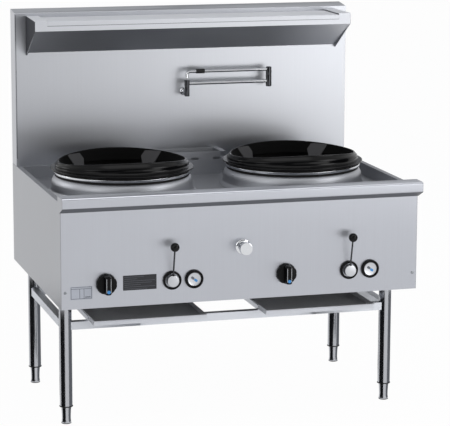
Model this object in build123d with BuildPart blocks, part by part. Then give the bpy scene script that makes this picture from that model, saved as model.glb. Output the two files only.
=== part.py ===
from build123d import *
import os
from math import cos, radians, sin, sqrt

os.makedirs("parts", exist_ok=True)

# Wok range on legs. X runs along the front, Y from the front to the back, Z up.
# Millimetres. The origin is at floor level, in the middle of the whole object.

# ---------------------------------------------------------------- driving sizes
# table body
table_width = 1200.0
body_depth = 814.0
body_bottom_z = 420.0
ledge_z = 764.0
ledge_width = 17.0
deck_z = 722.0
sheet = 2.0
side_foot_width = 20.0

# rounded front rim
rim_overhang = 44.0
rim_inner_reach = 26.0
rim_top_z = 785.0
rim_lip_z = 752.0
rim_foot_z = 732.0
rim_radius = 8.0
rim_side_lap = 2.5

# splashback
splash_thickness = 75.0
splash_front_top_z = 1294.0
splash_rise = 9.0

# shelf under the top of the splashback
shelf_side_gap = 40.0
shelf_reach = 165.0
shelf_front_foot_z = 1246.0
shelf_top_z = 1279.0
shelf_back_foot_z = 1157.0
shelf_end_width = 42.0
shelf_end_rise = 5.0
shelf_end_drop = 8.0
shelf_strip_height = 14.5
shelf_strip_depth = 14.0

# wok rings and what carries them
ring_splash_gap = 321.0
ring_flange_radius = 240.0
ring_flange_thickness = 5.7
ring_seat_z = 799.0
ring_foot_x = 226.0
ring_foot_y = 195.0
ring_lip_x = 216.0
ring_lip_y = 178.0
ring_wall = 9.0
ring_bore_step = 18.0
ring_crown_z = 837.0
ring_side_drop = 15.0
ring_edge_round = 2.0
pad_outer_radius = 184.0
pad_outer_z = 827.0
pad_inner_radius = 166.0
pad_inner_z = 786.0
pad_outer_width = 64.0
pad_inner_width = 36.0
pad_thickness = 16.0
trim_radius = 232.0
trim_height = 14.0
trim_neck_radius = 226.0
trim_neck_height = 4.0
collar_radius = 238.0
collar_flare = 12.0
collar_foot_rise = 19.0
collar_round = 12.0
collar_lip_width = 26.0

# burner well and burner
well_radius = 215.0
well_bottom_z = 560.0
burner_tube_radius = 24.0
burner_bottom_z = 520.0
burner_neck_z = 690.0
burner_bowl_radius = 85.0
burner_bowl_z = 728.0
burner_rim_z = 745.0
burner_rim_width = 15.0
burner_flange_radius = 40.0
burner_flange_thickness = 6.0
jet_circle_radius = 48.0
jet_radius = 5.0
jet_height = 14.0
jet_count = 12
pilot_offset = 78.0
pilot_top_z = 757.0
pilot_tube_radius = 3.0
feed_radius = 6.0
feed_drop = 30.0
pilot_drop = 40.0

# trough between the rings
trough_half_width = 111.0
trough_depth = 86.0
trough_top_z = 802.0
trough_bottom_z = 640.0
trough_flange = 18.0
slot_length = 29.0
slot_height = 9.0
slot_pitch = 78.0
slot_z = 777.5
slot_offset = 17.0
outlet_x = 60.0
outlet_radius = 25.0
outlet_wall = 1.5
outlet_end_z = 390.0

# controls on the front panel
control_z = 497.0
knob_offset = -153.0
lever_offset = 63.0
igniter_offset = 136.0
knob_radius = 34.0
knob_reach = 40.0
knob_skirt = 13.0
knob_grip_width = 22.0
knob_push = 4.0
knob_standoff = 4.5
spindle_radius = 4.0
spindle_flat = 3.0
spindle_reach = 22.0
bezel_radius = 32.5
bezel_depth = 9.0
bezel_inner_radius = 23.0
lever_hub_radius = 21.0
lever_hub_reach = 22.0
lever_shaft_radius = 6.0
lever_rod_radius = 2.75
lever_root_reach = 13.0
lever_lean = 27.0
lever_ball_z = 612.0
lever_ball_radius = 14.75
button_radius = 22.0
button_reach = 7.5
button_travel = 3.0
button_standoff = 3.8
button_stem_radius = 6.0
igniter_length = 52.0
igniter_width = 26.0
valve_width = 34.0
valve_bore_depth = 40.0
manifold_setback = 75.0
manifold_radius = 13.5
manifold_wall = 2.6
manifold_end_gap = 100.0
gas_inlet_side_gap = 60.0
inlet_back_gap = 54.0
pipe_end_z = 390.0

# water control and pipes
water_z = 594.0
water_flange_radius = 25.0
water_flange_depth = 6.0
water_neck_radius = 10.7
water_body_width = 30.0
water_body_depth = 45.0
water_knob_radius = 21.5
water_knob_reach = 43.0
water_knob_disc = 13.0
water_knob_neck_radius = 15.0
water_stem_radius = 5.0
water_stem_depth = 22.0
water_pipe_radius = 8.0
water_pipe_bend = 18.0
water_pipe_hole_gap = 4.0
water_supply_setback = 24.0
water_supply_z = 440.0

# folding tap on the splashback
tap_z = 1007.0
tap_tail = 12.0
tap_flange_radius = 15.0
tap_flange_depth = 6.0
tap_standoff = 45.0
tap_base_radius = 9.0
tap_base_bottom_z = 994.0
tap_base_top_z = 1024.0
tap_pin_radius = 6.0
tap_pin_height = 20.0
tap_hub_top_z = 1052.0
tap_arm_length = 299.0
tap_tube_radius = 6.0
tap_lower_z = 1039.0
tap_joint_radius = 10.0
tap_joint_bottom_z = 1020.0
tap_joint_mid_z = 1060.0
tap_joint_top_z = 1090.0
tap_upper_z = 1081.0
tap_bend_radius = 22.0
tap_tip_z = 1058.0
tap_grip_radius = 8.0
tap_grip_start = 32.0
tap_grip_length = 31.0

# plates and screws on the front panel
plate_ring_gap = 43.0
plate_z = 496.0
plate_width = 110.0
plate_height = 48.5
plate_thickness = 1.0
label_side_gap = 66.0
label_z = 472.5
label_width = 72.0
label_height = 43.0
label_thickness = 0.5
screw_side_gap = 14.0
screw_z = 475.0
screw_head_radius = 5.0
screw_head_height = 2.5
screw_shank_radius = 2.5
screw_length = 14.0

# legs, feet and rails
leg_side_gap = 47.0
leg_front_setback = 164.5
leg_back_gap = 120.5
leg_radius = 21.0
leg_wall = 2.0
bracket_width = 90.0
bracket_thickness = 4.0
bracket_plug_length = 30.0
leg_collar_z = 57.0
leg_collar_height = 3.0
leg_collar_radius = 22.5
leg_plug_length = 30.0
foot_radius = 16.5
foot_waist_radius = 14.5
foot_travel = 30.0
foot_stem_radius = 8.0
rail_width = 26.0
rail_wall = 2.0
rail_top_z = 342.0

# drip trays and their runners
tray_ring_shift = 10.0
tray_width = 376.0
tray_length = 600.0
tray_front_setback = 70.0
tray_height = 17.0
tray_sheet = 1.5
tray_lip = 10.0
runner_sheet = 2.0
runner_foot = 20.0
runner_height = 16.0

# clearances
seat_gap = 0.3
running_gap = 0.05
slip_gap = 0.1
hole_gap = 0.4

# ---------------------------------------------------------------- derived places
lever_front = lever_root_reach + lever_lean + lever_ball_radius
panel_y = (lever_front - body_depth) / 2
half_width = table_width / 2
back_y = panel_y + body_depth
splash_y = back_y - splash_thickness
splash_top_z = splash_front_top_z + splash_rise
rim_back_y = panel_y + rim_inner_reach
pan_half_width = half_width - ledge_width
ring_y = splash_y - ring_splash_gap
ring_x = table_width / 4
trim_base_z = ring_seat_z - trim_height - trim_neck_height
collar_lip_radius = collar_radius - collar_lip_width
manifold_y = panel_y + manifold_setback
tap_y = splash_y - tap_standoff
shelf_y = splash_y - shelf_reach
shelf_half_width = half_width - shelf_side_gap
inlet_y = back_y - inlet_back_gap
gas_inlet_x = half_width - gas_inlet_side_gap
manifold_end_x = half_width - manifold_end_gap
plate_x = -ring_x - plate_ring_gap
label_x = label_side_gap - half_width
screw_x = half_width - screw_side_gap
leg_x = half_width - leg_side_gap
tray_x = ring_x - tray_ring_shift
sides = (("left", -1), ("right", 1))
leg_rows = (("front", panel_y + leg_front_setback), ("rear", back_y - leg_back_gap))
leg_spots = [(side * leg_x, row_y) for row_name, row_y in leg_rows for side_name, side in sides]


def across(distance):
    """A plane across the front, at a distance behind the front panel's face."""
    return Plane.XZ.offset(-(panel_y + distance))


# ---------------------------------------------------------------- table body
# side ledges: an angle along each side of the pan, and the strip behind the trough with the pipe's hole
pan_back_y = splash_y - ledge_width
pan_mid_y = (rim_back_y + pan_back_y) / 2
side_ledge_mid_x = (pan_half_width + table_width / 2) / 2
with BuildPart() as deck_side_ledges:
    with BuildSketch(Plane.XY.offset(ledge_z - sheet)):
        with Locations((-side_ledge_mid_x, (rim_back_y + back_y) / 2)):
            Rectangle(table_width / 2 - pan_half_width, back_y - rim_back_y)
        with Locations((side_ledge_mid_x, (rim_back_y + back_y) / 2)):
            Rectangle(table_width / 2 - pan_half_width, back_y - rim_back_y)
        with Locations((0, (splash_y + hole_gap + back_y) / 2)):
            Rectangle(2 * (trough_half_width + hole_gap), back_y - splash_y - hole_gap)
        with Locations((0, (splash_y + back_y) / 2)):
            Circle(water_pipe_radius + water_pipe_hole_gap, mode=Mode.SUBTRACT)
    extrude(amount=sheet)
    with BuildSketch(Plane.XY.offset(deck_z - sheet)):
        with Locations((-(pan_half_width + sheet / 2), pan_mid_y + sheet / 2)):
            Rectangle(sheet, pan_back_y - rim_back_y + sheet)
        with Locations((pan_half_width + sheet / 2, pan_mid_y + sheet / 2)):
            Rectangle(sheet, pan_back_y - rim_back_y + sheet)
    extrude(amount=ledge_z - deck_z + sheet)
deck_side_ledges.part.label = "deck_side_ledges"
export_step(deck_side_ledges.part, "parts/deck_side_ledges.step")

# cross ledges: the pan's front wall, and an angle along its back at each side of the trough
back_ledge_width = pan_half_width - trough_half_width - hole_gap
back_ledge_mid_x = pan_half_width - back_ledge_width / 2
with BuildPart() as deck_cross_ledges:
    with BuildSketch(Plane.XY.offset(ledge_z - sheet)):
        with Locations((-back_ledge_mid_x, (pan_back_y + back_y) / 2)):
            Rectangle(back_ledge_width, back_y - pan_back_y)
        with Locations((back_ledge_mid_x, (pan_back_y + back_y) / 2)):
            Rectangle(back_ledge_width, back_y - pan_back_y)
    extrude(amount=sheet)
    with BuildSketch(Plane.XY.offset(deck_z - sheet)):
        with Locations((0, rim_back_y + sheet / 2)):
            Rectangle(2 * pan_half_width, sheet)
        with Locations((-back_ledge_mid_x, pan_back_y + sheet / 2)):
            Rectangle(back_ledge_width, sheet)
        with Locations((back_ledge_mid_x, pan_back_y + sheet / 2)):
            Rectangle(back_ledge_width, sheet)
    extrude(amount=ledge_z - deck_z + sheet)
deck_cross_ledges.part.label = "deck_cross_ledges"
export_step(deck_cross_ledges.part, "parts/deck_cross_ledges.step")

# deck floor: the bottom sheet of the pan, welded in between its walls, cut for the wells and the trough
with BuildPart() as deck_floor:
    with BuildSketch(Plane.XY.offset(deck_z - sheet)):
        with Locations((0, pan_mid_y + sheet / 2)):
            Rectangle(2 * pan_half_width, pan_back_y - rim_back_y - sheet)
        with Locations((-ring_x, ring_y), (ring_x, ring_y)):
            Circle(collar_radius - collar_flare, mode=Mode.SUBTRACT)
        with Locations((0, splash_y - trough_depth / 2)):
            Rectangle(
                2 * (trough_half_width + hole_gap),
                trough_depth + 2 * hole_gap,
                mode=Mode.SUBTRACT,
            )
    extrude(amount=sheet)
deck_floor.part.label = "deck_floor"
export_step(deck_floor.part, "parts/deck_floor.step")

# front rim: a folded hollow nose with closed ends, open underneath
with BuildPart() as front_rim:
    nose_y = panel_y - rim_overhang
    with BuildSketch(Plane.YZ):
        with BuildLine():
            Polyline(
                (nose_y, rim_top_z - rim_radius),
                (nose_y, rim_lip_z),
                (panel_y, rim_foot_z),
                (rim_back_y, rim_foot_z),
                (rim_back_y, rim_top_z),
                (nose_y + rim_radius, rim_top_z),
            )
            RadiusArc((nose_y + rim_radius, rim_top_z), (nose_y, rim_top_z - rim_radius), -rim_radius)
        make_face()
    extrude(amount=half_width + rim_side_lap, both=True)
    with BuildSketch(Plane.YZ):
        with BuildLine():
            Polyline(
                (nose_y + sheet, rim_top_z - rim_radius),
                (nose_y + sheet, rim_lip_z + sheet),
                (panel_y + sheet, rim_foot_z + sheet),
                (panel_y + sheet, rim_foot_z - sheet),
                (rim_back_y - sheet, rim_foot_z - sheet),
                (rim_back_y - sheet, rim_top_z - sheet),
                (nose_y + rim_radius, rim_top_z - sheet),
                (nose_y + sheet, rim_top_z - rim_radius),
            )
        make_face()
    extrude(amount=half_width + rim_side_lap - sheet, both=True, mode=Mode.SUBTRACT)
front_rim.part.label = "front_rim"
export_step(front_rim.part, "parts/front_rim.step")

# front panel with a hole for each control and screw
control_spots = []
for side_name, side in sides:
    for from_ring in (knob_offset, lever_offset, igniter_offset):
        control_spots.append((side * ring_x + from_ring, control_z))
with BuildPart() as front_panel:
    with BuildSketch(across(0)):
        with Locations((0, (body_bottom_z + rim_foot_z) / 2)):
            Rectangle(table_width - 2 * sheet, rim_foot_z - body_bottom_z)
        with Locations(*control_spots):
            Circle(lever_shaft_radius + hole_gap, mode=Mode.SUBTRACT)
        with Locations((0, water_z)):
            Circle(water_neck_radius + hole_gap, mode=Mode.SUBTRACT)
        with Locations((-screw_x, screw_z), (screw_x, screw_z)):
            Circle(screw_shank_radius + running_gap, mode=Mode.SUBTRACT)
    extrude(amount=-sheet)
front_panel.part.label = "front_panel"
export_step(front_panel.part, "parts/front_panel.step")

# side panels: each a web with a flange turned in at its foot
for side_name, side in sides:
    with BuildPart() as side_panel:
        web_x = side * (half_width - sheet / 2)
        foot_x = side * (half_width - sheet - side_foot_width / 2)
        with BuildSketch(Plane.XY.offset(body_bottom_z)):
            with Locations((web_x, (panel_y + back_y) / 2)):
                Rectangle(sheet, body_depth)
        extrude(amount=rim_foot_z - body_bottom_z)
        with BuildSketch(Plane.XY.offset(rim_foot_z)):
            with Locations((web_x, (rim_back_y + back_y) / 2)):
                Rectangle(sheet, back_y - rim_back_y)
        extrude(amount=ledge_z - sheet - rim_foot_z)
        with BuildSketch(Plane.XY.offset(body_bottom_z)):
            with Locations((foot_x, (panel_y + back_y) / 2)):
                Rectangle(side_foot_width, body_depth - 2 * sheet)
        extrude(amount=sheet)
    side_panel.part.label = "side_panel_" + side_name
    export_step(side_panel.part, "parts/side_panel_" + side_name + ".step")

with BuildPart() as back_panel:
    with BuildSketch(across(body_depth - sheet)):
        with Locations((0, (body_bottom_z + ledge_z - sheet) / 2)):
            Rectangle(table_width - 2 * sheet, ledge_z - sheet - body_bottom_z)
    extrude(amount=-sheet)
back_panel.part.label = "back_panel"
export_step(back_panel.part, "parts/back_panel.step")

# ---------------------------------------------------------------- splashback
with BuildPart() as splash_front:
    with BuildSketch(Plane.YZ):
        with BuildLine():
            Polyline(
                (splash_y, ledge_z),
                (splash_y, splash_front_top_z),
                (back_y, splash_top_z),
                (back_y, ledge_z),
                close=True,
            )
        make_face()
    extrude(amount=half_width, both=True)
    with BuildSketch(Plane.YZ):
        with BuildLine():
            Polyline(
                (splash_y + sheet, ledge_z - sheet),
                (splash_y + sheet, splash_front_top_z - sheet),
                (back_y + sheet, splash_top_z - sheet),
                (back_y + sheet, ledge_z - sheet),
                close=True,
            )
        make_face()
    extrude(amount=half_width - sheet, both=True, mode=Mode.SUBTRACT)
    with BuildSketch(Plane.XZ.offset(-splash_y + sheet)):
        with Locations((0, tap_z)):
            Circle(water_pipe_radius + hole_gap)
    extrude(amount=-3 * sheet, mode=Mode.SUBTRACT)
splash_front.part.label = "splash_front"
export_step(splash_front.part, "parts/splash_front.step")

with BuildPart() as splash_back:
    cover_top_z = splash_top_z - 2 * sheet
    with BuildSketch(across(body_depth - sheet)):
        with Locations((0, (ledge_z + cover_top_z) / 2)):
            Rectangle(table_width - 2 * (sheet + seat_gap), cover_top_z - ledge_z)
    extrude(amount=-sheet)
splash_back.part.label = "splash_back"
export_step(splash_back.part, "parts/splash_back.step")

# ---------------------------------------------------------------- shelf
shelf_seam_z = shelf_top_z - shelf_strip_height - 1
strip_back_y = shelf_y + shelf_strip_depth
shelf_core_half = shelf_half_width - shelf_end_width

# shelf shell: folded from one sheet, with a step along its front for the strip
with BuildPart() as shelf_shell:
    with BuildSketch(Plane.YZ):
        with BuildLine():
            Polyline(
                (shelf_y, shelf_front_foot_z),
                (shelf_y, shelf_seam_z),
                (strip_back_y, shelf_seam_z),
                (strip_back_y, shelf_top_z),
                (splash_y, shelf_top_z),
                (splash_y, shelf_back_foot_z),
                close=True,
            )
        make_face()
        offset(amount=-sheet, kind=Kind.INTERSECTION, mode=Mode.SUBTRACT)
    extrude(amount=shelf_core_half, both=True)
shelf_shell.part.label = "shelf_shell"
export_step(shelf_shell.part, "parts/shelf_shell.step")

with BuildPart() as shelf_strip:
    with BuildSketch(Plane.XY.offset(shelf_seam_z)):
        with Locations((0, shelf_y + shelf_strip_depth / 2)):
            Rectangle(2 * shelf_core_half - 2 * seat_gap, shelf_strip_depth)
    extrude(amount=shelf_strip_height)
    fillet(shelf_strip.edges().filter_by(Axis.X).group_by(Axis.Y)[0].sort_by(Axis.Z)[-1], sheet / 2)
shelf_strip.part.label = "shelf_strip"
export_step(shelf_strip.part, "parts/shelf_strip.step")

# the two ends of the shelf: boxes open towards the middle, with a deeper end plate
with BuildPart() as shelf_ends:
    end_top_z = shelf_top_z + shelf_end_rise
    for side_name, side in sides:
        with BuildSketch(Plane.YZ.offset(side * shelf_core_half)):
            with BuildLine():
                Polyline(
                    (shelf_y, shelf_front_foot_z),
                    (shelf_y, end_top_z),
                    (splash_y, end_top_z),
                    (splash_y, shelf_back_foot_z),
                    close=True,
                )
            make_face()
        extrude(amount=side * shelf_end_width)
        with BuildSketch(Plane.YZ.offset(side * shelf_core_half)):
            with BuildLine():
                Polyline(
                    (shelf_y, shelf_front_foot_z),
                    (shelf_y, end_top_z),
                    (splash_y, end_top_z),
                    (splash_y, shelf_back_foot_z),
                    close=True,
                )
            make_face()
            offset(amount=-sheet, kind=Kind.INTERSECTION, mode=Mode.REPLACE)
        extrude(amount=side * (shelf_end_width - sheet), mode=Mode.SUBTRACT)
        with BuildSketch(Plane.YZ.offset(side * (shelf_half_width - sheet))):
            with BuildLine():
                Polyline(
                    (shelf_y, shelf_front_foot_z),
                    (splash_y - shelf_end_drop, shelf_back_foot_z - shelf_end_drop),
                    (splash_y, shelf_back_foot_z - shelf_end_drop),
                    (splash_y, end_top_z),
                    (shelf_y, end_top_z),
                    close=True,
                )
            make_face()
        extrude(amount=side * sheet)
shelf_ends.part.label = "shelf_ends"
export_step(shelf_ends.part, "parts/shelf_ends.step")

# ---------------------------------------------------------------- trough
with BuildPart() as trough:
    trough_y = splash_y - trough_depth / 2
    with BuildSketch(Plane.XY.offset(trough_bottom_z)):
        with Locations((0, trough_y)):
            Rectangle(2 * trough_half_width, trough_depth)
    extrude(amount=trough_top_z - trough_bottom_z)
    with BuildSketch(Plane.XY.offset(trough_top_z - sheet)):
        with Locations((0, trough_y)):
            Rectangle(2 * (trough_half_width + trough_flange), trough_depth)
    extrude(amount=sheet)
    with BuildSketch(Plane.XY.offset(trough_bottom_z + sheet)):
        with Locations((0, trough_y)):
            Rectangle(2 * (trough_half_width - sheet), trough_depth - 2 * sheet)
    extrude(amount=trough_top_z - trough_bottom_z, mode=Mode.SUBTRACT)
    with BuildSketch(Plane.XZ.offset(-(splash_y - trough_depth - sheet))):
        with Locations((slot_offset - slot_pitch, slot_z), (slot_offset, slot_z),
                       (slot_offset + slot_pitch, slot_z)):
            SlotOverall(slot_length, slot_height)
    extrude(amount=-3 * sheet, mode=Mode.SUBTRACT)
    with BuildSketch(Plane.XY.offset(outlet_end_z)):
        with Locations((outlet_x, trough_y)):
            Circle(outlet_radius)
    extrude(amount=trough_bottom_z - outlet_end_z)
    with BuildSketch(Plane.XY.offset(outlet_end_z)):
        with Locations((outlet_x, trough_y)):
            Circle(outlet_radius - outlet_wall)
    extrude(amount=trough_bottom_z - outlet_end_z + 2 * sheet, mode=Mode.SUBTRACT)
trough.part.label = "trough"
export_step(trough.part, "parts/trough.step")

# ---------------------------------------------------------------- ring supports
# spun collars: a flared foot on the deck, a rounded shoulder and a lip turned in
for side_name, side in sides:
    axis_x = side * ring_x
    with BuildPart() as collar:
        with BuildSketch(Plane.XZ.offset(-ring_y)):
            with BuildLine():
                Line((axis_x + collar_radius + collar_flare, deck_z),
                     (axis_x + collar_radius + collar_flare, deck_z + sheet))
                RadiusArc((axis_x + collar_radius + collar_flare, deck_z + sheet),
                          (axis_x + collar_radius, deck_z + sheet + collar_foot_rise),
                          2 * collar_flare)
                Line((axis_x + collar_radius, deck_z + sheet + collar_foot_rise),
                     (axis_x + collar_radius, trim_base_z - collar_round))
                RadiusArc((axis_x + collar_radius, trim_base_z - collar_round),
                          (axis_x + collar_radius - collar_round, trim_base_z), -collar_round)
                Polyline(
                    (axis_x + collar_radius - collar_round, trim_base_z),
                    (axis_x + collar_lip_radius, trim_base_z),
                    (axis_x + collar_lip_radius, trim_base_z - sheet),
                    (axis_x + collar_radius - collar_round, trim_base_z - sheet),
                    (axis_x + collar_radius - sheet, trim_base_z - collar_round),
                    (axis_x + collar_radius - sheet, deck_z + sheet + collar_foot_rise),
                    (axis_x + collar_radius, deck_z),
                    (axis_x + collar_radius + collar_flare, deck_z),
                )
            make_face()
        revolve(axis=Axis((axis_x, ring_y, 0), (0, 0, 1)))
    collar.part.label = "collar_" + side_name
    export_step(collar.part, "parts/collar_" + side_name + ".step")

# trim rings: a polished band with a narrower neck that leaves a dark gap below it
with BuildPart() as trim_rings:
    for side_name, side in sides:
        with BuildSketch(Plane.XY.offset(trim_base_z)):
            with Locations((side * ring_x, ring_y)):
                Circle(trim_neck_radius)
                Circle(collar_lip_radius, mode=Mode.SUBTRACT)
        extrude(amount=trim_neck_height)
        with BuildSketch(Plane.XY.offset(trim_base_z + trim_neck_height)):
            with Locations((side * ring_x, ring_y)):
                Circle(trim_radius)
                Circle(collar_lip_radius, mode=Mode.SUBTRACT)
        extrude(amount=trim_height)
trim_rings.part.label = "trim_rings"
export_step(trim_rings.part, "parts/trim_rings.step")

# burner wells: drums hung from the collars' lips, open at the top
for side_name, side in sides:
    axis_x = side * ring_x
    with BuildPart() as burner_well:
        with BuildSketch(Plane.XY.offset(well_bottom_z)):
            with Locations((axis_x, ring_y)):
                Circle(well_radius)
        extrude(amount=trim_base_z - sheet - well_bottom_z)
        with BuildSketch(Plane.XY.offset(well_bottom_z + sheet)):
            with Locations((axis_x, ring_y)):
                Circle(well_radius - sheet)
        extrude(amount=trim_base_z - well_bottom_z, mode=Mode.SUBTRACT)
        with BuildSketch(Plane.XY.offset(well_bottom_z - sheet)):
            with Locations((axis_x, ring_y)):
                Circle(burner_tube_radius + slip_gap)
            with Locations((axis_x - pilot_offset, ring_y - pilot_offset)):
                Circle(pilot_tube_radius + hole_gap)
        extrude(amount=3 * sheet, mode=Mode.SUBTRACT)
    burner_well.part.label = "burner_well_" + side_name
    export_step(burner_well.part, "parts/burner_well_" + side_name + ".step")

# burners: a mixing tube that opens into a bowl with a ring of jets
with BuildPart() as burners:
    flange_z = well_bottom_z + sheet
    for side_name, side in sides:
        axis_x = side * ring_x
        with BuildSketch(Plane.XZ.offset(-ring_y)):
            with BuildLine():
                Polyline(
                    (axis_x, burner_bottom_z),
                    (axis_x + burner_tube_radius, burner_bottom_z),
                    (axis_x + burner_tube_radius, flange_z),
                    (axis_x + burner_flange_radius, flange_z),
                    (axis_x + burner_flange_radius, flange_z + burner_flange_thickness),
                    (axis_x + burner_tube_radius, flange_z + burner_flange_thickness),
                    (axis_x + burner_tube_radius, burner_neck_z),
                    (axis_x + burner_bowl_radius, burner_bowl_z - sheet),
                    (axis_x + burner_bowl_radius, burner_rim_z),
                    (axis_x + burner_bowl_radius - burner_rim_width, burner_rim_z),
                    (axis_x + burner_bowl_radius - burner_rim_width, burner_bowl_z),
                    (axis_x, burner_bowl_z),
                    close=True,
                )
            make_face()
        revolve(axis=Axis((axis_x, ring_y, 0), (0, 0, 1)))
        with BuildSketch(Plane.XY.offset(burner_bowl_z)):
            with Locations((axis_x, ring_y)):
                with PolarLocations(jet_circle_radius, jet_count):
                    Circle(jet_radius)
        extrude(amount=jet_height)
burners.part.label = "burners"
export_step(burners.part, "parts/burners.step")

# ---------------------------------------------------------------- wok rings
# cast rings: flat flange, oval wall whose crown dips at the sides, four steep pads
pad_run = pad_outer_radius - pad_inner_radius
pad_rise = pad_outer_z - pad_inner_z
pad_length = sqrt(pad_run ** 2 + pad_rise ** 2)
pad_mid_radius = (pad_outer_radius + pad_inner_radius) / 2
pad_mid_z = (pad_outer_z + pad_inner_z) / 2
ring_bottom_z = ring_seat_z + seat_gap
flange_top_z = ring_bottom_z + ring_flange_thickness
crown_radius = ring_lip_x ** 2 / (2 * ring_side_drop)
for side_name, side in sides:
    axis_x = side * ring_x

    # the outside of the wall, carried down to limit the pads
    with BuildPart() as wall_outside:
        with BuildSketch(Plane.XY.offset(flange_top_z)):
            with Locations((axis_x, ring_y)):
                Ellipse(ring_foot_x, ring_foot_y)
        with BuildSketch(Plane.XY.offset(ring_crown_z)):
            with Locations((axis_x, ring_y)):
                Ellipse(ring_lip_x, ring_lip_y)
        loft()
        with BuildSketch(Plane.XY.offset(flange_top_z)):
            with Locations((axis_x, ring_y)):
                Ellipse(ring_foot_x, ring_foot_y)
        extrude(amount=-pad_rise)

    with BuildPart() as ring_pads:
        for quarter in range(4):
            turn = radians(45 + 90 * quarter)
            face_plane = Plane(
                origin=(axis_x + pad_mid_radius * cos(turn), ring_y + pad_mid_radius * sin(turn), pad_mid_z),
                x_dir=(-sin(turn), cos(turn), 0),
                z_dir=(-pad_rise * cos(turn), -pad_rise * sin(turn), pad_run),
            )
            with BuildSketch(face_plane):
                with BuildLine():
                    Polyline(
                        (-pad_outer_width / 2, -pad_length / 2),
                        (pad_outer_width / 2, -pad_length / 2),
                        (pad_inner_width / 2, pad_length / 2),
                        (-pad_inner_width / 2, pad_length / 2),
                        close=True,
                    )
                make_face()
            extrude(amount=-pad_thickness)
        add(wall_outside.part, mode=Mode.INTERSECT)

    with BuildPart() as wok_ring:
        with BuildSketch(Plane.XY.offset(flange_top_z - ring_wall / 2)):
            with Locations((axis_x, ring_y)):
                Ellipse(ring_foot_x, ring_foot_y)
        extrude(amount=ring_wall / 2)
        with BuildSketch(Plane.XY.offset(flange_top_z)):
            with Locations((axis_x, ring_y)):
                Ellipse(ring_foot_x, ring_foot_y)
        with BuildSketch(Plane.XY.offset(ring_crown_z)):
            with Locations((axis_x, ring_y)):
                Ellipse(ring_lip_x, ring_lip_y)
        loft()
        with BuildSketch(Plane.XZ.offset(-(ring_y - ring_flange_radius))):
            with Locations((axis_x, ring_crown_z - crown_radius)):
                Circle(crown_radius)
        extrude(amount=-2 * ring_flange_radius, mode=Mode.INTERSECT)
        with BuildSketch(Plane.XY.offset(ring_bottom_z)):
            with Locations((axis_x, ring_y)):
                Circle(ring_flange_radius)
        extrude(amount=ring_flange_thickness)
        with BuildSketch(Plane.XY.offset(ring_bottom_z - 1)):
            with Locations((axis_x, ring_y)):
                Ellipse(ring_lip_x - ring_bore_step, ring_lip_y - ring_bore_step)
        with BuildSketch(Plane.XY.offset(ring_crown_z + 1)):
            with Locations((axis_x, ring_y)):
                Ellipse(ring_lip_x - ring_wall, ring_lip_y - ring_wall)
        loft(mode=Mode.SUBTRACT)
        fillet(wok_ring.edges().filter_by(GeomType.CIRCLE).group_by(Axis.Z)[-1], ring_edge_round)
        add(ring_pads.part)
    wok_ring.part.label = "wok_ring_" + side_name
    export_step(wok_ring.part, "parts/wok_ring_" + side_name + ".step")

# ---------------------------------------------------------------- gas controls
# gas manifold: a pipe behind the panel that turns back and down to the inlet
with BuildPart() as gas_manifold:
    bend = 3 * manifold_radius
    with BuildLine():
        FilletPolyline(
            (-manifold_end_x, manifold_y, control_z),
            (gas_inlet_x, manifold_y, control_z),
            (gas_inlet_x, inlet_y, control_z),
            (gas_inlet_x, inlet_y, pipe_end_z),
            radius=bend,
        )
    with BuildSketch(Plane.YZ.offset(-manifold_end_x)):
        with Locations((manifold_y, control_z)):
            Circle(manifold_radius)
    sweep()
    with BuildLine():
        FilletPolyline(
            (manifold_wall - manifold_end_x, manifold_y, control_z),
            (gas_inlet_x, manifold_y, control_z),
            (gas_inlet_x, inlet_y, control_z),
            (gas_inlet_x, inlet_y, pipe_end_z),
            radius=bend,
        )
    with BuildSketch(Plane.YZ.offset(manifold_wall - manifold_end_x)):
        with Locations((manifold_y, control_z)):
            Circle(manifold_radius - manifold_wall)
    sweep(mode=Mode.SUBTRACT)
gas_manifold.part.label = "gas_manifold"
export_step(gas_manifold.part, "parts/gas_manifold.step")

# gas valves: a block behind each knob and each lever, seated on the manifold
with BuildPart() as gas_valves:
    for side_name, side in sides:
        for from_ring, bore in ((knob_offset, spindle_radius), (lever_offset, lever_shaft_radius)):
            with BuildSketch(across(sheet)):
                with Locations((side * ring_x + from_ring, control_z)):
                    RectangleRounded(valve_width, valve_width, 4)
            extrude(amount=-(manifold_setback - sheet))
            with BuildSketch(across(sheet)):
                with Locations((side * ring_x + from_ring, control_z)):
                    Circle(bore + running_gap)
            extrude(amount=-valve_bore_depth, mode=Mode.SUBTRACT)
    with BuildSketch(Plane.YZ.offset(-half_width)):
        with Locations((manifold_y, control_z)):
            Circle(manifold_radius + slip_gap)
    extrude(amount=table_width, mode=Mode.SUBTRACT)
gas_valves.part.label = "gas_valves"
export_step(gas_valves.part, "parts/gas_valves.step")

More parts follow.
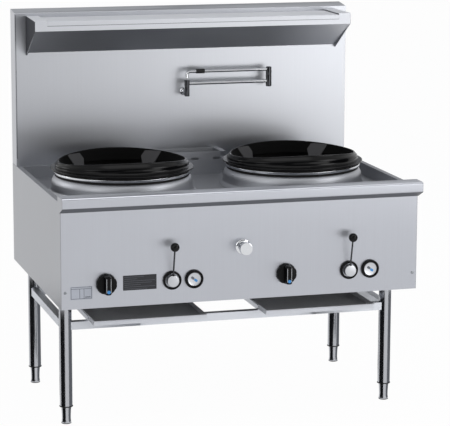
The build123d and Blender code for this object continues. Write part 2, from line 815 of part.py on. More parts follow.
# feed pipes: main gas from each lever valve, pilot gas from each knob valve
with BuildPart() as feed_pipes:
    valve_foot_z = control_z - valve_width / 2
    feed_y = panel_y + manifold_setback / 2
    feed_z = valve_foot_z - feed_drop
    pilot_z = valve_foot_z - pilot_drop
    for side_name, side in sides:
        axis_x = side * ring_x
        with BuildLine():
            FilletPolyline(
                (axis_x + lever_offset, feed_y, valve_foot_z),
                (axis_x + lever_offset, feed_y, feed_z),
                (axis_x, ring_y, feed_z),
                (axis_x, ring_y, burner_bottom_z),
                radius=3 * feed_radius,
            )
        with BuildSketch(Plane.XY.offset(valve_foot_z)):
            with Locations((axis_x + lever_offset, feed_y)):
                Circle(feed_radius)
        sweep()
        with BuildLine():
            FilletPolyline(
                (axis_x + knob_offset, feed_y, valve_foot_z),
                (axis_x + knob_offset, feed_y, pilot_z),
                (axis_x - pilot_offset, ring_y - pilot_offset, pilot_z),
                (axis_x - pilot_offset, ring_y - pilot_offset, pilot_top_z),
                radius=3 * feed_radius,
            )
        with BuildSketch(Plane.XY.offset(valve_foot_z)):
            with Locations((axis_x + knob_offset, feed_y)):
                Circle(pilot_tube_radius)
        sweep()
feed_pipes.part.label = "feed_pipes"
export_step(feed_pipes.part, "parts/feed_pipes.step")

# black bezels round the lever hubs and the igniter buttons
with BuildPart() as control_bezels:
    for side_name, side in sides:
        for from_ring in (lever_offset, igniter_offset):
            with BuildSketch(across(0)):
                with Locations((side * ring_x + from_ring, control_z)):
                    Circle(bezel_radius)
            extrude(amount=bezel_depth, taper=6)
            with BuildSketch(across(-bezel_depth - 1)):
                with Locations((side * ring_x + from_ring, control_z)):
                    Circle(bezel_inner_radius)
            extrude(amount=-bezel_depth - 1, mode=Mode.SUBTRACT)
control_bezels.part.label = "control_bezels"
export_step(control_bezels.part, "parts/control_bezels.step")

# igniters: spark units behind the panel, each with a bore for the button's stem
with BuildPart() as igniters:
    for side_name, side in sides:
        with BuildSketch(across(sheet)):
            with Locations((side * ring_x + igniter_offset, control_z)):
                Circle(igniter_width / 2)
        extrude(amount=-igniter_length)
        with BuildSketch(across(sheet)):
            with Locations((side * ring_x + igniter_offset, control_z)):
                Circle(button_stem_radius + running_gap)
        extrude(amount=-valve_bore_depth, mode=Mode.SUBTRACT)
igniters.part.label = "igniters"
export_step(igniters.part, "parts/igniters.step")

spindle_back = sheet + valve_bore_depth - 4
for side_name, side in sides:
    knob_x = side * ring_x + knob_offset

    # spindle: round in its valve, with a flat where the knob slides on it
    with BuildPart() as knob_spindle:
        with BuildSketch(across(spindle_back)):
            with Locations((knob_x, control_z)):
                Circle(spindle_radius)
        extrude(amount=spindle_back + spindle_reach)
        with BuildSketch(across(0)):
            with Locations((knob_x + spindle_flat + spindle_radius / 2, control_z)):
                Rectangle(spindle_radius, 4 * spindle_radius)
        extrude(amount=spindle_reach, mode=Mode.SUBTRACT)
    knob_spindle.part.label = "knob_spindle_" + side_name
    export_step(knob_spindle.part, "parts/knob_spindle_" + side_name + ".step")

    # knob: a tapered skirt with a raised grip bar across it
    with BuildPart() as knob:
        with BuildSketch(across(-knob_standoff)):
            with Locations((knob_x, control_z)):
                Circle(knob_radius)
        extrude(amount=knob_skirt, taper=8)
        with BuildSketch(across(-knob_standoff - knob_skirt)):
            with Locations((knob_x, control_z)):
                SlotOverall(2 * knob_radius - 6, knob_grip_width, rotation=90)
        extrude(amount=knob_reach - knob_standoff - knob_skirt, taper=5)
        with BuildSketch(across(-knob_standoff)):
            with Locations((knob_x, control_z)):
                Circle(spindle_radius + running_gap)
            with Locations((knob_x + spindle_flat + running_gap + spindle_radius / 2, control_z)):
                Rectangle(spindle_radius, 4 * spindle_radius, mode=Mode.SUBTRACT)
        extrude(amount=spindle_reach - knob_standoff + knob_push + 1, mode=Mode.SUBTRACT)
    knob.part.label = "knob_" + side_name
    export_step(knob.part, "parts/knob_" + side_name + ".step")

# flame levers: a steel hub on a shaft, with a rod that leans forward to a ball
for side_name, side in sides:
    lever_x = side * ring_x + lever_offset
    root_y = panel_y - lever_root_reach
    ball_y = root_y - lever_lean
    rod_rise = lever_ball_z - control_z
    with BuildPart() as lever:
        with BuildSketch(across(-1)):
            with Locations((lever_x, control_z)):
                Circle(lever_hub_radius)
        extrude(amount=lever_hub_reach - 1)
        fillet(lever.edges().filter_by(GeomType.CIRCLE).sort_by(Axis.Y)[0], 2)
        with BuildSketch(across(spindle_back)):
            with Locations((lever_x, control_z)):
                Circle(lever_shaft_radius)
        extrude(amount=spindle_back + lever_root_reach)
        rod_plane = Plane(
            origin=(lever_x, root_y, control_z),
            x_dir=(1, 0, 0),
            z_dir=(0, -lever_lean, rod_rise),
        )
        with BuildSketch(rod_plane):
            Circle(lever_rod_radius)
        extrude(amount=sqrt(lever_lean ** 2 + rod_rise ** 2))
    lever.part.label = "lever_" + side_name
    export_step(lever.part, "parts/lever_" + side_name + ".step")

    with BuildPart() as lever_ball:
        with Locations((lever_x, ball_y, lever_ball_z)):
            Sphere(lever_ball_radius)
        with BuildSketch(rod_plane):
            Circle(lever_rod_radius + running_gap)
        extrude(amount=sqrt(lever_lean ** 2 + rod_rise ** 2) + running_gap, mode=Mode.SUBTRACT)
    lever_ball.part.label = "lever_ball_" + side_name
    export_step(lever_ball.part, "parts/lever_ball_" + side_name + ".step")

# igniter buttons: a disc on a stem that slides in the igniter
for side_name, side in sides:
    with BuildPart() as igniter_button:
        with BuildSketch(across(-button_standoff)):
            with Locations((side * ring_x + igniter_offset, control_z)):
                Circle(button_radius)
        extrude(amount=button_reach - button_standoff)
        with BuildSketch(across(sheet + valve_bore_depth - button_travel - 1)):
            with Locations((side * ring_x + igniter_offset, control_z)):
                Circle(button_stem_radius)
        extrude(amount=sheet + valve_bore_depth - button_travel - 1 + button_standoff)
    igniter_button.part.label = "igniter_button_" + side_name
    export_step(igniter_button.part, "parts/igniter_button_" + side_name + ".step")

# ---------------------------------------------------------------- water control
with BuildPart() as water_valve:
    with BuildSketch(across(0)):
        with Locations((0, water_z)):
            Circle(water_flange_radius)
    extrude(amount=water_flange_depth, taper=15)
    with BuildSketch(across(0)):
        with Locations((0, water_z)):
            Circle(water_neck_radius)
    extrude(amount=-sheet)
    with BuildSketch(across(sheet)):
        with Locations((0, water_z)):
            RectangleRounded(water_body_width, water_body_width, 4)
    extrude(amount=-(water_body_depth - sheet))
    with BuildSketch(across(-water_flange_depth - 1)):
        with Locations((0, water_z)):
            Circle(water_stem_radius + running_gap)
    extrude(amount=-(water_flange_depth + 1 + water_stem_depth + 1), mode=Mode.SUBTRACT)
water_valve.part.label = "water_valve"
export_step(water_valve.part, "parts/water_valve.step")

with BuildPart() as water_knob:
    with BuildSketch(across(water_stem_depth)):
        with Locations((0, water_z)):
            Circle(water_stem_radius)
    extrude(amount=water_stem_depth + water_flange_depth + seat_gap)
    with BuildSketch(across(-water_flange_depth - seat_gap)):
        with Locations((0, water_z)):
            Circle(water_knob_neck_radius)
    extrude(amount=water_knob_reach - water_knob_disc - water_flange_depth - seat_gap)
    with BuildSketch(across(-water_knob_reach + water_knob_disc)):
        with Locations((0, water_z)):
            Circle(water_knob_radius)
    extrude(amount=water_knob_disc)
    fillet(water_knob.edges().filter_by(GeomType.CIRCLE).group_by(Axis.Y)[0], 2.5)
water_knob.part.label = "water_knob"
export_step(water_knob.part, "parts/water_knob.step")

# water pipes: one up to the valve from below, one from the valve to the tap
with BuildPart() as water_pipes:
    riser_y = (splash_y + back_y) / 2
    tail_end_y = splash_y + sheet + tap_tail
    supply_y = panel_y + water_supply_setback
    valve_back_y = panel_y + water_body_depth
    with BuildLine():
        FilletPolyline(
            (0, valve_back_y, water_z),
            (0, riser_y, water_z),
            (0, riser_y, tap_z),
            (0, tail_end_y, tap_z),
            radius=water_pipe_bend,
        )
    with BuildSketch(Plane.XZ.offset(-valve_back_y)):
        with Locations((0, water_z)):
            Circle(water_pipe_radius)
    sweep()
    with BuildLine():
        FilletPolyline(
            (0, supply_y, water_z - water_body_width / 2),
            (0, supply_y, water_supply_z),
            (0, inlet_y, water_supply_z),
            (0, inlet_y, pipe_end_z),
            radius=water_pipe_bend,
        )
    with BuildSketch(Plane.XY.offset(water_z - water_body_width / 2)):
        with Locations((0, supply_y)):
            Circle(water_pipe_radius)
    sweep()
water_pipes.part.label = "water_pipes"
export_step(water_pipes.part, "parts/water_pipes.step")

# ---------------------------------------------------------------- folding tap
# wall inlet: flange, nipple and an upright body with a pin for the lower arm
with BuildPart() as tap_inlet:
    with BuildSketch(Plane.XZ.offset(-splash_y)):
        with Locations((0, tap_z)):
            Circle(tap_flange_radius)
    extrude(amount=tap_flange_depth, taper=20)
    with BuildSketch(Plane.XZ.offset(-tail_end_y)):
        with Locations((0, tap_z)):
            Circle(water_pipe_radius)
    extrude(amount=tail_end_y - tap_y)
    with BuildSketch(Plane.XY.offset(tap_base_bottom_z)):
        with Locations((0, tap_y)):
            Circle(tap_base_radius)
    extrude(amount=tap_base_top_z - tap_base_bottom_z)
    with BuildSketch(Plane.XY.offset(tap_base_top_z)):
        with Locations((0, tap_y)):
            Circle(tap_pin_radius)
    extrude(amount=tap_pin_height)
tap_inlet.part.label = "tap_inlet"
export_step(tap_inlet.part, "parts/tap_inlet.step")

with BuildPart() as tap_lower_arm:
    with BuildSketch(Plane.XY.offset(tap_base_top_z + seat_gap)):
        with Locations((0, tap_y)):
            Circle(tap_base_radius)
    extrude(amount=tap_hub_top_z - tap_base_top_z - seat_gap)
    with BuildSketch(Plane.YZ):
        with Locations((tap_y, tap_lower_z)):
            Circle(tap_tube_radius)
    extrude(amount=tap_arm_length)
    with BuildSketch(Plane.XY.offset(tap_joint_bottom_z)):
        with Locations((tap_arm_length, tap_y)):
            Circle(tap_joint_radius)
    extrude(amount=tap_joint_mid_z - tap_joint_bottom_z)
    fillet(tap_lower_arm.edges().filter_by(GeomType.CIRCLE).sort_by(Axis.Z)[0], 2)
    with BuildSketch(Plane.XY.offset(tap_joint_mid_z)):
        with Locations((tap_arm_length, tap_y)):
            Circle(tap_pin_radius)
    extrude(amount=tap_pin_height / 2)
    with BuildSketch(Plane.XY.offset(tap_base_top_z)):
        with Locations((0, tap_y)):
            Circle(tap_pin_radius + running_gap)
    extrude(amount=tap_pin_height + seat_gap, mode=Mode.SUBTRACT)
tap_lower_arm.part.label = "tap_lower_arm"
export_step(tap_lower_arm.part, "parts/tap_lower_arm.step")

with BuildPart() as tap_upper_arm:
    with BuildLine():
        FilletPolyline(
            (tap_arm_length, tap_y, tap_upper_z),
            (0, tap_y, tap_upper_z),
            (0, tap_y, tap_tip_z),
            radius=tap_bend_radius,
        )
    with BuildSketch(Plane.YZ.offset(tap_arm_length)):
        with Locations((tap_y, tap_upper_z)):
            Circle(tap_tube_radius)
    sweep()
    with BuildSketch(Plane.XY.offset(tap_joint_mid_z + seat_gap)):
        with Locations((tap_arm_length, tap_y)):
            Circle(tap_joint_radius)
    extrude(amount=tap_joint_top_z - tap_joint_mid_z - seat_gap)
    fillet(tap_upper_arm.edges().filter_by(GeomType.CIRCLE).sort_by(Axis.Z)[-1], 2)
    with BuildSketch(Plane.XY.offset(tap_joint_mid_z)):
        with Locations((tap_arm_length, tap_y)):
            Circle(tap_pin_radius + running_gap)
    extrude(amount=tap_pin_height / 2 + seat_gap, mode=Mode.SUBTRACT)
tap_upper_arm.part.label = "tap_upper_arm"
export_step(tap_upper_arm.part, "parts/tap_upper_arm.step")

with BuildPart() as tap_grip:
    with BuildSketch(Plane.YZ.offset(tap_grip_start)):
        with Locations((tap_y, tap_upper_z)):
            Circle(tap_grip_radius)
            Circle(tap_tube_radius + slip_gap, mode=Mode.SUBTRACT)
    extrude(amount=tap_grip_length)
tap_grip.part.label = "tap_grip"
export_step(tap_grip.part, "parts/tap_grip.step")

# ---------------------------------------------------------------- plates and screws
with BuildPart() as panel_plates:
    with BuildSketch(across(0)):
        with Locations((plate_x, plate_z)):
            Rectangle(plate_width, plate_height)
    extrude(amount=plate_thickness)
    with BuildSketch(across(0)):
        with Locations((label_x, label_z)):
            Rectangle(label_width, label_height)
    extrude(amount=label_thickness)
panel_plates.part.label = "panel_plates"
export_step(panel_plates.part, "parts/panel_plates.step")

with BuildPart() as panel_screws:
    for side_name, side in sides:
        with BuildSketch(across(0)):
            with Locations((side * screw_x, screw_z)):
                Circle(screw_head_radius)
        extrude(amount=screw_head_height, taper=20)
        with BuildSketch(across(0)):
            with Locations((side * screw_x, screw_z)):
                Circle(screw_shank_radius)
        extrude(amount=-screw_length)
panel_screws.part.label = "panel_screws"
export_step(panel_screws.part, "parts/panel_screws.step")

# ---------------------------------------------------------------- legs and feet
with BuildPart() as leg_brackets:
    bracket_z = body_bottom_z + sheet
    with BuildSketch(Plane.XY.offset(bracket_z)):
        for side_name, side in sides:
            plate_mid_x = side * (half_width - sheet - bracket_width / 2)
            with Locations((plate_mid_x, leg_rows[0][1]), (plate_mid_x, leg_rows[1][1])):
                RectangleRounded(bracket_width, bracket_width, 6)
    extrude(amount=bracket_thickness)
    with BuildSketch(Plane.XY.offset(bracket_z - bracket_plug_length)):
        with Locations(*leg_spots):
            Circle(leg_radius - leg_wall - slip_gap)
    extrude(amount=bracket_plug_length)
leg_brackets.part.label = "leg_brackets"
export_step(leg_brackets.part, "parts/leg_brackets.step")

leg_tube_z = leg_collar_z + leg_collar_height
for row_name, row_y in leg_rows:
    for side_name, side in sides:
        leg_name = row_name + "_" + side_name
        with BuildPart() as leg:
            with BuildSketch(Plane.XY.offset(leg_tube_z)):
                with Locations((side * leg_x, row_y)):
                    Circle(leg_radius)
                    Circle(leg_radius - leg_wall, mode=Mode.SUBTRACT)
            extrude(amount=bracket_z - leg_tube_z)
        leg.part.label = "leg_" + leg_name
        export_step(leg.part, "parts/leg_" + leg_name + ".step")

        # foot: a waisted body on a stem that screws up into the leg's plug
        foot_top_z = leg_collar_z - seat_gap
        foot_x = side * leg_x
        with BuildPart() as foot:
            with BuildSketch(Plane.XZ.offset(-row_y)):
                with BuildLine():
                    Polyline(
                        (foot_x, 0),
                        (foot_x + foot_radius - 1, 0),
                        (foot_x + foot_radius, 1),
                        (foot_x + foot_radius, 6),
                        (foot_x + foot_waist_radius, 14),
                        (foot_x + foot_radius, foot_top_z - 6),
                        (foot_x + foot_radius, foot_top_z),
                        (foot_x + foot_stem_radius, foot_top_z),
                        (foot_x + foot_stem_radius, leg_tube_z + leg_plug_length + foot_travel),
                        (foot_x, leg_tube_z + leg_plug_length + foot_travel),
                        close=True,
                    )
                make_face()
            revolve(axis=Axis((foot_x, row_y, 0), (0, 0, 1)))
        foot.part.label = "foot_" + leg_name
        export_step(foot.part, "parts/foot_" + leg_name + ".step")

# collars at the foot of each leg, with a plug in the tube that guides the foot's stem
with BuildPart() as leg_collars:
    with BuildSketch(Plane.XY.offset(leg_collar_z)):
        with Locations(*leg_spots):
            Circle(leg_collar_radius)
    extrude(amount=leg_collar_height)
    with BuildSketch(Plane.XY.offset(leg_tube_z)):
        with Locations(*leg_spots):
            Circle(leg_radius - leg_wall - slip_gap)
    extrude(amount=leg_plug_length)
    with BuildSketch(Plane.XY.offset(leg_collar_z)):
        with Locations(*leg_spots):
            Circle(foot_stem_radius + running_gap)
    extrude(amount=leg_collar_height + leg_plug_length, mode=Mode.SUBTRACT)
leg_collars.part.label = "leg_collars"
export_step(leg_collars.part, "parts/leg_collars.step")

# ---------------------------------------------------------------- rails
rail_mid_z = rail_top_z - rail_width / 2
with BuildPart() as leg_rails:
    for row_name, row_y in leg_rows:
        with BuildSketch(Plane.YZ):
            with Locations((row_y, rail_mid_z)):
                Rectangle(rail_width, rail_width)
                Rectangle(rail_width - 2 * rail_wall, rail_width - 2 * rail_wall, mode=Mode.SUBTRACT)
        extrude(amount=leg_x, both=True)
    for side_name, side in sides:
        with BuildSketch(Plane.XZ.offset(-leg_rows[0][1])):
            with Locations((side * leg_x, rail_mid_z)):
                Rectangle(rail_width, rail_width)
                Rectangle(rail_width - 2 * rail_wall, rail_width - 2 * rail_wall, mode=Mode.SUBTRACT)
        extrude(amount=-(leg_rows[1][1] - leg_rows[0][1]))
    with BuildSketch(Plane.XY.offset(rail_mid_z - rail_width)):
        with Locations(*leg_spots):
            Circle(leg_radius)
    extrude(amount=2 * rail_width, mode=Mode.SUBTRACT)
leg_rails.part.label = "leg_rails"
export_step(leg_rails.part, "parts/leg_rails.step")

# ---------------------------------------------------------------- trays and runners
# runners: angles laid across the front and rear rails, one at each side of each tray
with BuildPart() as tray_runners:
    runner_start_y = leg_rows[0][1] - rail_width / 2
    runner_end_y = leg_rows[1][1] + rail_width / 2
    with BuildSketch(Plane.XZ.offset(-runner_start_y)):
        for side_name, side in sides:
            for hand in (-1, 1):
                inner_x = side * tray_x + hand * (tray_width / 2 + 2 * seat_gap)
                with Locations((inner_x + hand * runner_sheet / 2, rail_top_z + runner_height / 2)):
                    Rectangle(runner_sheet, runner_height)
                with Locations((inner_x - hand * runner_foot / 2, rail_top_z + runner_sheet / 2)):
                    Rectangle(runner_foot, runner_sheet)
    extrude(amount=-(runner_end_y - runner_start_y))
tray_runners.part.label = "tray_runners"
export_step(tray_runners.part, "parts/tray_runners.step")

# drip trays: shallow pans with a lip at the front to pull them by
for side_name, side in sides:
    tray_bottom_z = rail_top_z + runner_sheet + seat_gap
    tray_start_y = panel_y + tray_front_setback
    with BuildPart() as drip_tray:
        with BuildSketch(Plane.XY.offset(tray_bottom_z)):
            with Locations((side * tray_x, tray_start_y + tray_length / 2)):
                Rectangle(tray_width, tray_length)
        extrude(amount=tray_height)
        with BuildSketch(Plane.XY.offset(tray_bottom_z + tray_sheet)):
            with Locations((side * tray_x, tray_start_y + tray_length / 2)):
                Rectangle(tray_width - 2 * tray_sheet, tray_length - 2 * tray_sheet)
        extrude(amount=tray_height, mode=Mode.SUBTRACT)
        with BuildSketch(Plane.XY.offset(tray_bottom_z + tray_height - tray_sheet)):
            with Locations((side * tray_x, tray_start_y - tray_lip / 2)):
                Rectangle(tray_width, tray_lip)
        extrude(amount=tray_sheet)
    drip_tray.part.label = "drip_tray_" + side_name
    export_step(drip_tray.part, "parts/drip_tray_" + side_name + ".step")
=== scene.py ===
from math import atan2, cos, pi, radians, sin, tan

import bmesh
import bpy
from mathutils import Matrix, Vector


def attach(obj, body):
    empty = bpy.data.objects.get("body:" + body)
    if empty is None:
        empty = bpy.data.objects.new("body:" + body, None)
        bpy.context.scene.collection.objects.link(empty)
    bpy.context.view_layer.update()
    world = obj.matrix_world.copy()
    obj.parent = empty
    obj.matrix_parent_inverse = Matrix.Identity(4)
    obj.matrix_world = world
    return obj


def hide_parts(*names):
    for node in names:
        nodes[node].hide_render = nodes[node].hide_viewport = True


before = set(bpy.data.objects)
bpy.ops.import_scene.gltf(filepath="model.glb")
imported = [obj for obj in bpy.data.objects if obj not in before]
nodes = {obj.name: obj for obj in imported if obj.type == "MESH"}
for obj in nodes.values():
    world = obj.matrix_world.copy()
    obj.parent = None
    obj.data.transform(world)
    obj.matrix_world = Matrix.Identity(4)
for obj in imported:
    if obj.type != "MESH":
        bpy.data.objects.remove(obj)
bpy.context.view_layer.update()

scene = bpy.context.scene

# ------------------------------------------------------------ sizes, in millimetres
MM = 0.001
PANEL_Y = -379.625
RIM_REACH = 44.0
RIM_LEDGE = 26.0
RIM_TOP_Z = 785.0
RIM_FOLD_Z = 752.0
RIM_FOOT_Z = 732.0
RIM_HALF = 601.5
RIM_CAP_HALF = 602.5
SPLASH_Y = 359.375
SPLASH_BACK_Y = 434.375
SPLASH_HALF = 600.0
SPLASH_FOOT_Z = 764.0
SPLASH_SHEET = 2.0
SHELF_Y = 194.375
SHELF_END_X = 560.0
SHELF_HALF = 518.0
RING_X = 300.0
RING_Y = 38.375
SIDES = (("left", -1), ("right", 1))
LEG_SPOTS = (
    ("front_left", -553.0, -215.125),
    ("front_right", 553.0, -215.125),
    ("rear_left", -553.0, 313.875),
    ("rear_right", 553.0, 313.875),
)
CONTROL_Z = 497.0
KNOB_OFFSET = -153.0
LEVER_OFFSET = 63.0
IGNITER_OFFSET = 136.0
WATER_Z = 594.0
TAP_Y = 314.375
TAP_ARM = 299.0
TAP_INLET_Z = 1007.0
TAP_LOWER_Z = 1039.0
TAP_UPPER_Z = 1081.0
TAP_SPOUT_Z = 1058.0
TAP_TUBE_R = 6.0
BALL_Z = 612.0
BALL_R = 14.7
SCREW_X = 586.0
SCREW_Z = 475.0


# ------------------------------------------------------------ materials
def linear(text):
    """An sRGB hex colour as linear red, green, blue and alpha."""
    channels = [int(text[i:i + 2], 16) / 255 for i in (1, 3, 5)]
    return [c / 12.92 if c <= 0.04045 else ((c + 0.055) / 1.055) ** 2.4 for c in channels] + [1.0]


def put(tree, kind, settings, inputs):
    """Adds a node, sets its settings, and sets or links its inputs."""
    made = tree.nodes.new(kind)
    for name, value in settings.items():
        setattr(made, name, value)
    for name, value in inputs.items():
        if isinstance(value, bpy.types.NodeSocket):
            tree.links.new(value, made.inputs[name])
        else:
            made.inputs[name].default_value = value
    return made


# How grain and patches mix in a finish, and the part of their range that sets the gloss.
PATCH_SHARE = 0.35
MIX_LOW = 0.3
MIX_HIGH = 0.7
# Sockets of the Mix node, which are told apart by number.
FACTOR = 0
FLOAT_A, FLOAT_B, FLOAT_OUT = 2, 3, 0
COLOUR_A, COLOUR_B, COLOUR_OUT = 6, 7, 2


def finish_of(name, dark, light, rough, metallic, grain_mm, bump_mm, patch_mm=180.0, **sockets):
    """A finish whose fine grain and broad patches change its colour, gloss and height a little.

    grain_mm is the size of the grain along X, Y and Z, and patch_mm that of the broad patches.
    A bump_mm of 0 leaves the surface flat.
    """
    material = bpy.data.materials.new(name)
    material.use_nodes = True
    tree = material.node_tree
    tree.nodes.clear()
    place = put(tree, "ShaderNodeTexCoord", {}, {})
    per_grain = [1 / (size * MM) for size in grain_mm]
    stretched = put(tree, "ShaderNodeMapping", {}, {
        "Vector": place.outputs["Object"], "Scale": per_grain})
    grain = put(tree, "ShaderNodeTexNoise", {}, {
        "Vector": stretched.outputs["Vector"], "Scale": 1.0, "Detail": 3.0, "Roughness": 0.6})
    patches = put(tree, "ShaderNodeTexNoise", {}, {
        "Vector": place.outputs["Object"], "Scale": 1 / (patch_mm * MM), "Detail": 2.0})
    blend = put(tree, "ShaderNodeMix", {"data_type": "FLOAT"}, {
        FACTOR: PATCH_SHARE, FLOAT_A: grain.outputs["Fac"], FLOAT_B: patches.outputs["Fac"]})
    colour = put(tree, "ShaderNodeMix", {"data_type": "RGBA"}, {
        FACTOR: blend.outputs[FLOAT_OUT], COLOUR_A: linear(dark), COLOUR_B: linear(light)})
    gloss = put(tree, "ShaderNodeMapRange", {}, {
        "Value": blend.outputs[FLOAT_OUT], "From Min": MIX_LOW, "From Max": MIX_HIGH,
        "To Min": rough[0], "To Max": rough[1]})
    if bump_mm:
        height = put(tree, "ShaderNodeBump", {}, {
            "Height": grain.outputs["Fac"], "Strength": 1.0, "Distance": bump_mm * MM})
        sockets["Normal"] = height.outputs["Normal"]
    shader = put(tree, "ShaderNodeBsdfPrincipled", {}, {
        "Base Color": colour.outputs[COLOUR_OUT], "Roughness": gloss.outputs["Result"],
        "Metallic": metallic, **sockets})
    put(tree, "ShaderNodeOutputMaterial", {}, {"Surface": shader.outputs["BSDF"]})
    return material


# Stainless sheet, brushed upright: a soft sheen with the faintest upright streaks.
# The real brush marks are about 0.1 mm apart, too fine to show, so they are drawn coarser:
# 6 mm apart here, 4 mm on the front panel and 3 mm on the sides.
splash_steel = finish_of("brushed_stainless_upright", "#B2B4B9", "#BABCC1", (0.33, 0.36), 1.0,
                         (6.0, 6.0, 900.0), 0.0, Anisotropic=0.5)
# The same sheet on the front, brushed more strongly, so the controls smear softly along its marks.
panel_steel = finish_of("brushed_stainless_front", "#B6B8BF", "#BFC2C9", (0.30, 0.34), 1.0,
                        (4.0, 4.0, 400.0), 0.0, Anisotropic=0.85)
# The sides of the body: the same sheet, with a darker colour that is painted shade of a duller light.
side_steel = finish_of("brushed_stainless_side", "#93959A", "#9D9FA4", (0.33, 0.38), 1.0,
                       (3.0, 3.0, 300.0), 0.0008)
# The shelf: bead-blasted stainless, even, and paler than the rest: painted light, so its underside stays
# light grey.
shelf_steel = finish_of("blasted_stainless", "#C8CACF", "#D2D4D9", (0.48, 0.54), 1.0,
                        (6.0, 6.0, 6.0), 0.002)
# Painted shade: the same steel darkened, for sheet that faces down or away from the light, and for thin
# dark lines.
painted_shade_steel = finish_of("painted_shade_stainless", "#6A6C70", "#76787D", (0.42, 0.48), 1.0,
                         (6.0, 6.0, 6.0), 0.002)
# Outer faces of the shelf's end plates: almost black, painted shade for the unlit side of the room they
# mirror.
# They are written as a non-metal, because metal stays bright where it is seen at a low angle.
painted_shade_end_steel = finish_of("painted_unlit_stainless", "#3A3B3F", "#444549", (0.60, 0.66), 0.0,
                      (6.0, 6.0, 6.0), 0.002, **{"IOR": 1.5, "Specular IOR Level": 0.05})
# Cold-rolled stainless on the worktop: duller and darker, with broad soft patches.
deck_steel = finish_of("cold_rolled_stainless", "#96989D", "#A5A7AC", (0.44, 0.52), 1.0,
                       (60.0, 5.0, 5.0), 0.003, 240.0)
# Spun stainless: fine rings from the spinning tool, soft, and darker than the hubs' steel: painted shade.
collar_steel = finish_of("satin_spun_stainless", "#9C9EA3", "#A8AAAF", (0.44, 0.50), 1.0,
                         (120.0, 120.0, 2.5), 0.002)
# The same steel turned bright, on the hubs and buttons.
spun_steel = finish_of("spun_stainless", "#BCBEC2", "#C8CACE", (0.30, 0.36), 1.0,
                       (120.0, 120.0, 2.5), 0.002)
# Polished stainless tube: near mirror, so dark and bright bands run down it.
tube_steel = finish_of("polished_stainless_tube", "#ACAEB3", "#BABCC1", (0.17, 0.20), 1.0,
                       (6.0, 6.0, 300.0), 0.0)
# Polished trim under the wok ring: a bright narrow line all round.
trim_steel = finish_of("polished_stainless_trim", "#C8CACE", "#DADCE0", (0.14, 0.20), 1.0,
                       (80.0, 80.0, 2.0), 0.001)
# Chrome plate on the tap's upright joints, darkened: a painted reflection of the dark side of the room.
chrome_painted_dark_reflection = finish_of("chrome_plate_painted_dark", "#3A3B3E", "#46474A", (0.05, 0.09), 1.0,
                        (20.0, 20.0, 20.0), 0.0005)
# Chrome plate on the tap's straight runs and on the water knob.
chrome = finish_of("chrome_plate", "#CFD1D4", "#DDDFE2", (0.05, 0.09), 1.0, (20.0, 20.0, 20.0), 0.0005)
# Vitreous enamel on cast iron: wet-looking black over the slight waves of the casting.
ring_enamel = finish_of("black_vitreous_enamel", "#030304", "#0A0A0B", (0.16, 0.20), 0.0,
                        (30.0, 30.0, 30.0), 0.006, 90.0, **{"IOR": 1.5, "Specular IOR Level": 0.13})
# Inside of the wok ring, burnt dull by the flame: a dry black with hardly any shine.
ring_inside = finish_of("burnt_black_enamel", "#020202", "#070707", (0.60, 0.72), 0.0,
                        (14.0, 14.0, 14.0), 0.02, 90.0, **{"IOR": 1.5, "Specular IOR Level": 0.05})
# Ground cast iron, on the pads that carry the wok: matt dark grey with grinding marks.
pad_iron = finish_of("ground_cast_iron", "#2A2A2C", "#38383A", (0.50, 0.62), 0.4, (3.0, 3.0, 3.0), 0.05)
# Burnt steel inside the wells: almost black and dry. It also gives painted shade to the neck under each
# wok ring.
burnt_and_shade_steel = finish_of("heat_blackened_steel_and_shade", "#0B0A0A", "#191716", (0.55, 0.75), 0.5,
                        (12.0, 12.0, 12.0), 0.06)
# Grey cast iron of the burners, sand-cast and left bare.
burner_iron = finish_of("bare_cast_iron", "#232222", "#343231", (0.55, 0.72), 0.7, (4.0, 4.0, 4.0), 0.12)
# Glass-filled nylon of the knobs, spark-eroded mould: black with a dull sheen.
knob_plastic = finish_of("moulded_black_nylon", "#030304", "#080809", (0.34, 0.42), 0.0,
                         (1.5, 1.5, 1.5), 0.01, 40.0, **{"IOR": 1.5, "Specular IOR Level": 0.14})
# Phenolic ball, polished: black with a small sharp highlight.
ball_plastic = finish_of("polished_black_phenolic", "#040405", "#0A0A0B", (0.14, 0.20), 0.0,
                         (10.0, 10.0, 10.0), 0.002, 30.0, **{"IOR": 1.6, "Specular IOR Level": 0.14})
# Dark steel of the lever's rod: a thin dark line with a pale edge.
rod_steel = finish_of("dark_steel_rod", "#3C3D40", "#4A4B4E", (0.22, 0.30), 1.0,
                      (4.0, 4.0, 40.0), 0.001, 60.0)
# Nitrile sleeve on the tap: black and matt.
grip_rubber = finish_of("black_nitrile_rubber", "#101011", "#1A1A1B", (0.60, 0.75), 0.0,
                        (2.0, 2.0, 2.0), 0.02, 30.0, IOR=1.5)
# Blue pad-printed mark under clear lacquer.
blue_print = finish_of("blue_printed_mark", "#2F78B4", "#3D8CCB", (0.25, 0.35), 0.0,
                       (2.0, 2.0, 2.0), 0.002, 20.0, IOR=1.5)
# Pale grey lines along the knob grips' edges: painted highlights.
edge_highlight_paint = finish_of("pale_painted_edge_highlight", "#B9BABC", "#CFD0D2", (0.45, 0.60), 0.0,
                        (2.0, 2.0, 2.0), 0.002, 20.0, IOR=1.5)
# Anodised plate, satin black.
plate_black = finish_of("black_anodised_plate", "#202124", "#2B2C30", (0.38, 0.48), 0.3,
                        (30.0, 3.0, 3.0), 0.003, 60.0)
# Matt film of the pale label.
label_film = finish_of("pale_label_film", "#A8ACB4", "#B3B7BF", (0.45, 0.55), 0.0,
                       (8.0, 8.0, 8.0), 0.002, 60.0, IOR=1.5)
# Grey ink of the rules on the pale label.
label_ink = finish_of("grey_printed_ink", "#54575E", "#62656C", (0.50, 0.60), 0.0,
                      (2.0, 2.0, 2.0), 0.002, 20.0, IOR=1.5)
# Rails of folded stainless, satin.
rail_steel = finish_of("satin_stainless_rail", "#CCCFD5", "#D8DBE1", (0.42, 0.50), 1.0,
                       (200.0, 200.0, 4.0), 0.004)
